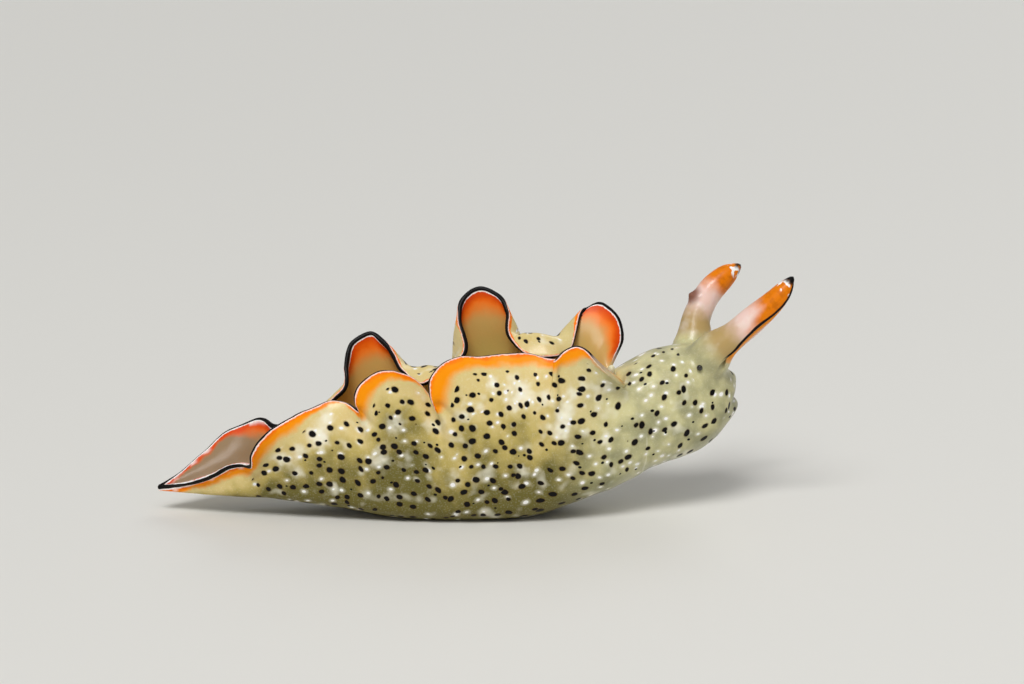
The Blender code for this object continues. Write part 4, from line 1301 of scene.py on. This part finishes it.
class Graph:
    """Short ways to place and join the nodes of one tree."""

    def __init__(self, tree: bpy.types.NodeTree) -> None:
        """Keeps the tree that is built."""
        self.tree = tree

    def add(self, kind: str, **settings: object) -> bpy.types.Node:
        """Places a node and sets its options."""
        node = self.tree.nodes.new(kind)
        for name, value in settings.items():
            setattr(node, name, value)
        return node

    def put(self, value: object, socket: bpy.types.NodeSocket) -> None:
        """Joins a wire or an output to the socket, or sets the socket to a plain value."""
        value = value.socket if isinstance(value, Wire) else value
        if isinstance(value, bpy.types.NodeSocket):
            self.tree.links.new(value, socket)
        else:
            socket.default_value = value

    def fill(self, node: bpy.types.Node, **values: object) -> None:
        """Puts values into a node's inputs, whose names have spaces where these have _."""
        for name, value in values.items():
            self.put(value, node.inputs[name.replace("_", " ")])

    def wires(self, node: bpy.types.Node) -> dict[str, Wire]:
        """Gives a node's outputs by their names."""
        return {socket.name: Wire(self, socket) for socket in node.outputs}

    def math(self, operation: str, *values: object, clamp: bool = False) -> Wire:
        """Works out one step of arithmetic."""
        node = self.add("ShaderNodeMath", operation=operation, use_clamp=clamp)
        for value, socket in zip(values, node.inputs):
            self.put(value, socket)
        return Wire(self, node.outputs[0])

    def vector(self, operation: str, *values: object, output: str = "Vector") -> Wire:
        """Works out one step of arithmetic on vectors."""
        node = self.add("ShaderNodeVectorMath", operation=operation)
        for value, socket in zip(values, node.inputs):
            self.put(value, socket)
        return self.wires(node)[output]

    def parts(self, kind: str, value: object) -> list[Wire]:
        """Takes a vector or a colour apart."""
        node = self.add(kind)
        self.put(value, node.inputs[0])
        return list(self.wires(node).values())

    def mix(self, amount: object, first: object, second: object) -> Wire:
        """Mixes two colours."""
        node = self.add("ShaderNodeMix", data_type="RGBA", clamp_factor=True)
        self.put(amount, node.inputs["Factor"])
        for name, value in (("A", first), ("B", second)):
            self.put(value, [s for s in node.inputs if s.name == name and s.type == "RGBA"][0])
        return Wire(self, [s for s in node.outputs if s.type == "RGBA"][0])

    def mark(self, kind: Mark) -> Wire:
        """Reads a mark of the skin."""
        return self.wires(self.add("ShaderNodeAttribute", attribute_name=kind.value))["Fac"]

    def noise(self, vector: object, size: float, detail: float = 2.0) -> Wire:
        """Reads noise from 0 to 1, whose lumps have that size in millimetres."""
        node = self.add("ShaderNodeTexNoise")
        self.fill(node, Vector=vector, Scale=1 / size, Detail=detail, Roughness=0.5)
        return self.wires(node)["Fac"]

    def place(self) -> Wire:
        """Gives the place on the object, in millimetres."""
        place = self.add("ShaderNodeTexCoord").outputs["Object"]
        return self.vector("MULTIPLY", place, (1 / MM, 1 / MM, 1 / MM))

    def group(self, tree: bpy.types.NodeTree, **values: object) -> dict[str, Wire]:
        """Places a group, fills its inputs and gives its outputs."""
        node = self.add("ShaderNodeGroup", node_tree=tree)
        self.fill(node, **values)
        return self.wires(node)


def new_group(name: str, inputs: dict[str, tuple], outputs: tuple[str, ...]) -> tuple:
    """Makes an empty shader node group.

    Args:
        name: The group's name.
        inputs: The kind of socket and the default of each input.
        outputs: The names of the outputs, all plain numbers.

    Returns:
        The group, its graph, the wires of its inputs and its output node.
    """
    tree = bpy.data.node_groups.new(name, "ShaderNodeTree")
    for title, (kind, default) in inputs.items():
        socket = tree.interface.new_socket(title, in_out="INPUT", socket_type=kind)
        if default is not None:
            socket.default_value = default
    for title in outputs:
        tree.interface.new_socket(title, in_out="OUTPUT", socket_type=FLOAT)
    graph = Graph(tree)
    return tree, graph, graph.wires(graph.add("NodeGroupInput")), graph.add("NodeGroupOutput")


def new_material(name: str) -> tuple[bpy.types.Material, Graph, bpy.types.Node]:
    """Makes a material, and gives it with its graph and its shader."""
    material = bpy.data.materials.new(name)
    material.use_nodes = True
    return material, Graph(material.node_tree), material.node_tree.nodes["Principled BSDF"]


class SpotGroup:
    """Slightly ragged oval spots scattered over a flat lay-out of the skin, with a soft halo."""

    def __init__(self) -> None:
        """Builds the group's nodes."""
        self.tree, graph, given, result = new_group(
            "skin_spots",
            {"Place": (VECTOR, None), "Spacing": (FLOAT, 1.0), "Radius": (FLOAT, 0.2),
             "Spread": (FLOAT, 0.4), "Kept": (FLOAT, 1.0), "Stretch": (FLOAT, 1.15),
             "Lean": (FLOAT, 0.0), "Ragged": (FLOAT, 0.1), "Soft": (FLOAT, 0.03),
             "Halo Width": (FLOAT, 0.07)},
            ("Spot", "Halo"))
        place, stretch = given["Place"], given["Stretch"]
        cells = graph.add("ShaderNodeTexVoronoi", feature="F1", voronoi_dimensions="2D")
        graph.fill(cells, Vector=place, Scale=1.0 / given["Spacing"], Randomness=0.82)
        size_draw, kept_draw, turn_draw = graph.parts(
            "ShaderNodeSeparateColor", cells.outputs["Color"])
        turn = graph.add("ShaderNodeVectorRotate", rotation_type="Z_AXIS")
        graph.fill(turn, Vector=graph.vector("SUBTRACT", place, cells.outputs["Position"]),
                   Angle=turn_draw - 0.5 - given["Lean"])
        long_way, short_way, _ = graph.parts("ShaderNodeSeparateXYZ", turn.outputs[0])
        long_way, short_way = long_way / stretch, short_way * stretch
        wobble = (graph.noise(place, 0.32, 1.0) - 0.5) * given["Ragged"]
        away = graph.math("SQRT", long_way * long_way + short_way * short_way) + wobble
        kept = (given["Kept"] - kept_draw).rise(0.0, 0.12)
        radius = (1.0 - size_draw * given["Spread"]) * given["Radius"] * kept
        there = radius.rise(0.02, 0.05)
        inner, outer = radius - given["Soft"], radius + given["Soft"]
        graph.fill(result, Spot=away.rise(inner, outer, 1.0, 0.0) * there,
                   Halo=away.rise(inner, radius * 1.15 + given["Halo Width"], 1.0, 0.0) * there)


class MoistGrainGroup:
    """The fine grain of wet skin: a height for a bump, and an uneven roughness."""

    def __init__(self) -> None:
        """Builds the group's nodes."""
        self.tree, graph, given, result = new_group(
            "moist_grain",
            {"Place": (VECTOR, None), "Roughness": (FLOAT, 0.35), "Unevenness": (FLOAT, 0.15)},
            ("Height", "Roughness"))
        fine = graph.noise(given["Place"], 0.16, 3.0)
        coarse = graph.noise(given["Place"], 0.7)
        rough = (coarse - 0.5) * 2.0 * given["Unevenness"] + given["Roughness"]
        graph.fill(result, Height=coarse * 0.6 + fine, Roughness=rough.most(0.08))


@dataclass(frozen=True)
class Scatter:
    """One scatter of spots: their spacing, size and edges in millimetres, and how they vary."""

    spacing: float
    radius: float
    spread: float
    ragged: float = 0.08
    soft: float = 0.025
    halo_width: float = 0.07
    shift: tuple[float, float, float] = (0.0, 0.0, 0.0)

    def lay(self, graph: Graph, spots: bpy.types.NodeTree, flat: object, kept: Wire,
            **more: object) -> dict[str, Wire]:
        """Lays the spots over the skin.

        Args:
            graph: The material's graph.
            spots: The group that draws spots.
            flat: The skin's flat lay-out.
            kept: The share of the spots that stay, at each place.
            more: Any other inputs of the group.

        Returns:
            The wires of the spots and their halos.
        """
        return graph.group(spots, Place=graph.vector("ADD", flat, self.shift), Kept=kept,
                           Spacing=self.spacing, Radius=self.radius, Spread=self.spread,
                           Ragged=self.ragged, Soft=self.soft, Halo_Width=self.halo_width, **more)


@dataclass(frozen=True)
class SkinFinish:
    """Translucent speckled flesh, with the frills' three bands and the feelers' colours."""

    cream: tuple = colour(222, 200, 134)
    tan: tuple = colour(194, 174, 100)
    olive: tuple = colour(112, 104, 50)
    neck_pale: tuple = colour(212, 208, 158)
    neck_deep: tuple = colour(154, 154, 120)
    inner_tan: tuple = colour(208, 162, 90)
    inner_deep: tuple = colour(186, 164, 90)
    tail_brown: tuple = colour(150, 124, 92)
    white: tuple = colour(252, 250, 246)
    cloud_white: tuple = colour(250, 246, 226)
    ink: tuple = colour(8, 5, 5)
    halo_brown: tuple = colour(88, 58, 18)
    band_yellow: tuple = colour(255, 152, 0)
    band_orange: tuple = colour(252, 118, 0)
    band_red: tuple = colour(218, 70, 0)
    feeler_base: tuple = colour(180, 152, 98)
    feeler_pink: tuple = colour(240, 206, 194)
    feeler_orange: tuple = colour(228, 124, 0)
    feeler_amber: tuple = colour(186, 94, 0)
    corner_brown: tuple = colour(112, 58, 30)
    fold_place: float = 11.74
    fold_lean: float = -0.09
    corner_place: tuple = (15.95, 5.4, 14.95)
    pale_reach: float = 6.8
    body_lean: float = 2.7
    belly_lean: float = 0.5
    neck_lean: float = 3.75
    black_out: float = -0.23
    black_in: float = 0.36
    white_width: float = 0.085
    band_width: float = 0.72
    large_dots: Scatter = Scatter(0.98, 0.235, 0.38, ragged=0.1, soft=0.022)
    small_dots: Scatter = Scatter(1.7, 0.12, 0.5, shift=(3.1, 8.7, 0.0))
    specks: tuple[Scatter, ...] = (
        Scatter(0.9, 0.13, 0.4, soft=0.035, halo_width=0.22, shift=(7.3, 2.9, 0.0)),
        Scatter(2.1, 0.17, 0.4, soft=0.035, halo_width=0.22, shift=(1.7, 5.2, 0.0)),
    )

    def make(self) -> bpy.types.Material:
        """Builds the material.

        Returns:
            The finished skin material.
        """
        material, graph, shader = new_material("slug_skin")
        place = graph.place()
        flesh = self.flesh(graph, place, SpotGroup().tree)
        painted = graph.mix(graph.mark(Mark.INSIDE), flesh, self.frill_inside(graph, place))
        painted = self.bands(graph, place, painted)
        painted = self.feeler(graph, place, painted)
        blue = graph.parts("ShaderNodeSeparateColor", painted)[2]
        grain = graph.group(MoistGrainGroup().tree, Place=place, Roughness=0.42, Unevenness=0.12)
        bump = graph.add("ShaderNodeBump")
        graph.fill(bump, Strength=0.25, Distance=0.03 * MM, Height=grain["Height"])
        graph.fill(shader, Base_Color=painted, Coat_Weight=blue.rise(0.0, 0.3, 0.06, 0.5),
                   Roughness=grain["Roughness"], Normal=bump.outputs["Normal"],
                   Subsurface_Radius=(1.0, 0.6, 0.25), Subsurface_Weight=0.12,
                   Subsurface_Scale=0.4 * MM, Specular_IOR_Level=0.12, Coat_Roughness=0.2)
        return material

    def flesh(self, graph: Graph, place: Wire, spots: bpy.types.NodeTree) -> Wire:
        """Paints the outer skin: tan flesh turning olive towards the belly, partly its own tone and
        partly painted shade, white clouds and specks, and ink dots.

        Args:
            graph: The material's graph.
            place: The place on the skin, in millimetres.
            spots: The group that draws spots.

        Returns:
            The skin's colour.
        """
        low, neck, dots = graph.mark(Mark.LOW), graph.mark(Mark.NECK), graph.mark(Mark.DOTS)
        along, hem, cloud = graph.mark(Mark.ALONG), graph.mark(Mark.HEM), graph.mark(Mark.CLOUD)
        uneven = (graph.noise(place, 1.5) - 0.5) * 1.5 + (graph.noise(place, 3.5, 3.0) - 0.5)
        # depth darkens the flesh from cream through tan to olive. Down the flank, away from the hem
        # and on the belly, this is partly the flesh's own olive and partly painted shade of light from
        # above. Towards the rear and the tail it is the flesh's own tone.
        rear = along.rise(1.0, -5.0, 0.0, 0.66) * hem.rise(-1.5, -4.2)
        tone_and_shade_below_hem = hem * (-1 / self.pale_reach) - 0.36
        on_tail = along.rise(-12.0, -16.0, 0.0, 0.38)
        depth = uneven * 0.9 + tone_and_shade_below_hem + rear + low * 0.6 + on_tail
        base = graph.mix(depth.rise(0.0, 0.55), self.cream, self.tan)
        base = graph.mix(depth.rise(0.35, 1.35), base, self.olive)
        under = uneven * 1.1 + low * 0.3 + 0.4
        pale = graph.mix(under.rise(0.0, 0.9), self.neck_pale, self.neck_deep)
        pale = graph.mix(low.rise(0.5, 0.85, 0.0, 0.5), pale, self.cloud_white)
        base = graph.mix(neck * 0.85, base, pale)
        ahead, _, up = graph.parts("ShaderNodeSeparateXYZ", place)
        upright = up * self.fold_lean + ahead - self.fold_place
        fold = graph.math("ABSOLUTE", uneven * 0.4 + upright)
        creased = fold.rise(0.01, 0.1, 0.32, 0.0) * low.rise(0.25, 0.45)
        ragged = (graph.noise(place, 0.6, 1.0) - 0.5) * 0.8 + cloud
        drift = graph.noise(place, 1.3, 1.0).rise(0.56, 0.8, 0.0, 0.6)
        granules = graph.noise(place, 0.13).rise(0.5, 0.74, 0.0, 0.12)
        for amount in (creased, ragged.rise(0.1, 1.1, 0.0, 0.9), drift * dots, granules):
            base = graph.mix(amount, base, self.cloud_white)
        flat = graph.add("ShaderNodeCombineXYZ")
        graph.fill(flat, X=along, Y=graph.mark(Mark.AROUND))
        flat = flat.outputs[0]
        share = low.most(neck) * 0.2 + 0.34 + cloud.rise(0.1, 0.7, 0.0, 0.6)
        for scatter in self.specks:
            specks = scatter.lay(graph, spots, flat, dots * share)
            base = graph.mix(specks["Halo"] * 0.4, base, self.cloud_white)
            base = graph.mix(specks["Spot"], base, self.white)
        lean = low.rise(0.2, 0.8) * self.belly_lean + self.body_lean
        lean = neck.rise(0.5, 0.9) * (self.neck_lean - lean) + lean
        large = self.large_dots.lay(graph, spots, flat, dots * (neck * -0.32 + 0.9),
                                    Stretch=neck * 0.09 + 1.12, Lean=lean)
        base = graph.mix(large["Halo"] * 0.75, base, self.halo_brown)
        base = graph.mix(large["Spot"], base, self.ink)
        small = self.small_dots.lay(graph, spots, flat, dots * 0.7)
        return graph.mix(small["Spot"], base, self.ink)

    def frill_inside(self, graph: Graph, place: Wire) -> Wire:
        """Paints the frills' inner faces and the back: plain tan, deeper towards the body."""
        deep = (graph.noise(place, 1.2, 3.0) - 0.5) * 2.0 + graph.mark(Mark.HEM)
        base = graph.mix(deep.rise(1.5, 6.0), self.inner_tan, self.inner_deep)
        base = graph.mix(graph.mark(Mark.ALONG).rise(-13.5, -17.0), base, self.tail_brown)
        base = graph.mix(graph.mark(Mark.NECK).rise(0.93, 1.0, 0.0, 0.8), base, self.neck_pale)
        return graph.mix(graph.mark(Mark.VEIN) * 0.7, base, self.cream)

    def bands(self, graph: Graph, place: Wire, painted: Wire) -> Wire:
        """Paints the orange band, then the white lines, then the black line of the hem.

        Args:
            graph: The material's graph.
            place: The place on the skin, in millimetres.
            painted: The colour so far.

        Returns:
            The colour with the bands.
        """
        glow, frill = graph.mark(Mark.GLOW), graph.mark(Mark.FRILL).rise(0.4, 0.95)
        signed = (graph.noise(place, 0.6) - 0.5) * 0.1 + graph.mark(Mark.HEM)
        tail = graph.mark(Mark.ALONG).rise(-14.0, -17.0)
        thin = tail * -0.4 + 1.0
        away = (signed - thin * self.black_in).most(thin * self.black_out - signed)
        inside = signed.rise(-0.1, 0.2) * frill
        broad = (graph.noise(place, 1.1, 3.0) - 0.5) * 0.7 + away
        on_left = graph.mark(Mark.AROUND).rise(-1.0, 1.0)
        faint = graph.math("SUBTRACT", 1.0, glow, clamp=True)
        width = glow * (1.0 - on_left * (1.0 - inside) * faint)
        reach = width * self.band_width + self.white_width
        fade = width * (inside * 0.5 + 0.6)
        band = broad.rise(fade * -0.35 + reach, reach + fade, 1.0, 0.0)
        outer = graph.mix(broad.rise(0.05, 0.4), self.band_orange, self.band_yellow)
        inner = graph.mix(broad.rise(0.1, 1.1), self.band_red, self.band_orange)
        painted = graph.mix(band * glow.rise(0.02, 0.3) * frill, painted,
                            graph.mix(inside, outer, inner))
        lit = glow.rise(0.02, 0.22)
        patches = graph.noise(place, 1.5, 1.0).rise(0.48, 0.6) * tail
        painted = graph.mix(patches * broad.rise(0.15, 0.45, 0.8, 0.0) * lit, painted, self.white)
        grainy = (graph.noise(place, 0.2) - 0.5) * 0.2 + away
        white = grainy.rise(self.white_width - 0.04, self.white_width + 0.04, 1.0, 0.0)
        bright = inside.most(tail) * 0.32 + 0.6
        painted = graph.mix(white * frill * lit * bright, painted, self.white)
        return graph.mix(away.rise(-0.03, 0.03, 1.0, 0.0) * frill * lit, painted, self.ink)

    def feeler(self, graph: Graph, place: Wire, painted: Wire) -> Wire:
        """Paints the feelers: tan, pink, orange, and black at the tips and the free edge.

        Args:
            graph: The material's graph.
            place: The place on the skin, in millimetres.
            painted: The colour so far.

        Returns:
            The colour with the feelers.
        """
        up, edge, lip = graph.mark(Mark.FEELER), graph.mark(Mark.EDGE), graph.mark(Mark.LIP)
        wander = graph.noise(place, 0.9) - 0.5
        place_up = wander * 0.12 + up
        base = graph.mix(place_up.rise(0.34, 0.56), self.feeler_base, self.feeler_pink)
        streak = graph.noise(place, 1.3).rise(0.5, 0.7, 0.0, 0.25)
        base = graph.mix(streak, base, self.white)
        warm = place_up + edge.rise(0.15, 0.9, 0.12, 0.0) + lip.rise(0.2, 1.2, 0.2, 0.0)
        streaks = graph.noise(place, 0.55).rise(0.45, 0.7, 0.0, 0.55)
        amber = graph.mix(streaks, self.feeler_orange, self.feeler_amber)
        base = graph.mix(warm.rise(0.58, 0.76), base, amber)
        base = graph.mix(lip.rise(0.6, 1.3, 0.95, 0.0), base, self.band_yellow)
        tip_band = up.rise(0.86, 0.89) * up.rise(0.97, 0.95)
        patch = graph.noise(place, 0.5, 1.0).rise(0.5, 0.56)
        base = graph.mix(tip_band * patch, base, self.white)
        black = (wander * 0.08 + edge).rise(0.1, 0.16, 1.0, 0.0) * up.rise(0.2, 0.3)
        base = graph.mix(black.most(place_up.rise(0.94, 0.975)), base, self.ink)
        corner = graph.vector("DISTANCE", place, self.corner_place, output="Value")
        base = graph.mix(corner.rise(0.3, 1.0, 0.9, 0.0), base, self.corner_brown)
        return graph.mix(up.rise(0.16, 0.3), painted, base)


@dataclass(frozen=True)
class EyeFinish:
    """A wet black bead."""

    black: tuple = colour(14, 12, 14)
    brown: tuple = colour(40, 30, 24)

    def make(self) -> bpy.types.Material:
        """Builds the material."""
        material, graph, shader = new_material("wet_eye")
        mottle = graph.noise(graph.place(), 0.12, 3.0).rise(0.4, 0.7)
        graph.fill(shader, Base_Color=graph.mix(mottle, self.black, self.brown),
                   Roughness=0.12, Coat_Weight=0.6, Coat_Roughness=0.05)
        return material


@dataclass
class Studio:
    """The pale floor, the soft lights and the camera at the photograph's angle."""

    target: tuple[float, float, float] = (2.6, 0.0, 12.6)
    distance: float = 184.3
    elevation_degrees: float = 12.0
    lens: float = 90.0
    floor_half: float = 3000.0
    floor_grey: tuple = colour(222, 220, 214)

    def build(self) -> None:
        """Sets up everything that isn't part of the animal."""
        self.floor()
        self.camera()
        self.sky_light("key", (-0.25, -0.62, 0.9), 24.0, 1.9)
        self.soft_box("gloss", (20.0, -170.0, 210.0), 0.12, 0.1)
        self.sky_light("rim", (0.3, 0.75, 0.55), 30.0, 0.45)
        scene = bpy.context.scene
        world = bpy.data.worlds.new("pale_room")
        world.use_nodes = True
        world.node_tree.nodes["Background"].inputs["Color"].default_value = colour(236, 238, 240)
        world.node_tree.nodes["Background"].inputs["Strength"].default_value = 0.36
        scene.world = world
        scene.view_settings.view_transform = "Standard"
        scene.view_settings.look = "None"

    def floor(self) -> None:
        """Lays the floor."""
        bm = bmesh.new()
        bmesh.ops.create_grid(bm, x_segments=1, y_segments=1, size=self.floor_half * MM)
        floor = add_object("floor", mesh_from(bm, "floor"))
        material, graph, shader = new_material("pale_floor")
        graph.fill(shader, Base_Color=self.floor_grey, Roughness=0.7)
        floor.data.materials.append(material)

    def camera(self) -> None:
        """Places the camera."""
        lens = bpy.data.cameras.new("camera")
        lens.lens = self.lens
        lens.sensor_width = 36.0
        lens.clip_start = 0.005
        camera = add_object("camera", lens)
        tilt = math.radians(self.elevation_degrees)
        away = Vector((0, -math.cos(tilt), math.sin(tilt))) * self.distance
        camera.location = (Vector(self.target) + away) * MM
        camera.rotation_euler = (math.radians(90 - self.elevation_degrees), 0, 0)
        bpy.context.scene.camera = camera

    def sky_light(self, name: str, toward: tuple[float, float, float], spread_degrees: float,
                  strength: float) -> None:
        """Hangs a wide, even light too far away to fade over the floor.

        Args:
            name: The light's name.
            toward: The direction from the animal to the light.
            spread_degrees: How wide the light looks from the animal.
            strength: Its strength, in watts for each square metre.
        """
        lamp = bpy.data.lights.new(name, "SUN")
        lamp.energy = strength
        lamp.angle = math.radians(spread_degrees)
        holder = add_object(name, lamp)
        holder.rotation_euler = Vector(toward).to_track_quat("Z", "Y").to_euler()

    def soft_box(self, name: str, place: tuple[float, float, float], size: float,
                 power: float) -> None:
        """Hangs a soft square light that faces the animal.

        Args:
            name: The light's name.
            place: Where it hangs, in millimetres.
            size: The length of its side, in metres.
            power: Its power, in watts.
        """
        lamp = bpy.data.lights.new(name, "AREA")
        lamp.size = size
        lamp.energy = power
        holder = add_object(name, lamp)
        holder.location = Vector(place) * MM
        toward = Vector((0, 0, 6.0)) * MM - holder.location
        holder.rotation_euler = toward.to_track_quat("-Z", "Y").to_euler()


def main() -> None:
    """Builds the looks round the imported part."""
    logging.basicConfig(level=logging.INFO, format="%(name)s: %(message)s")
    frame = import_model()
    Studio().build()
    skin_maker = SlugSkin()
    skin = skin_maker.build()
    skin_maker.dress(skin, list(frame["nodes"]))
    wet_eye = EyeFinish().make()
    for side in Side:
        eye = SlugEye(side).build()
        eye.data.materials.append(wet_eye)


if __name__ == "__main__":
    main()
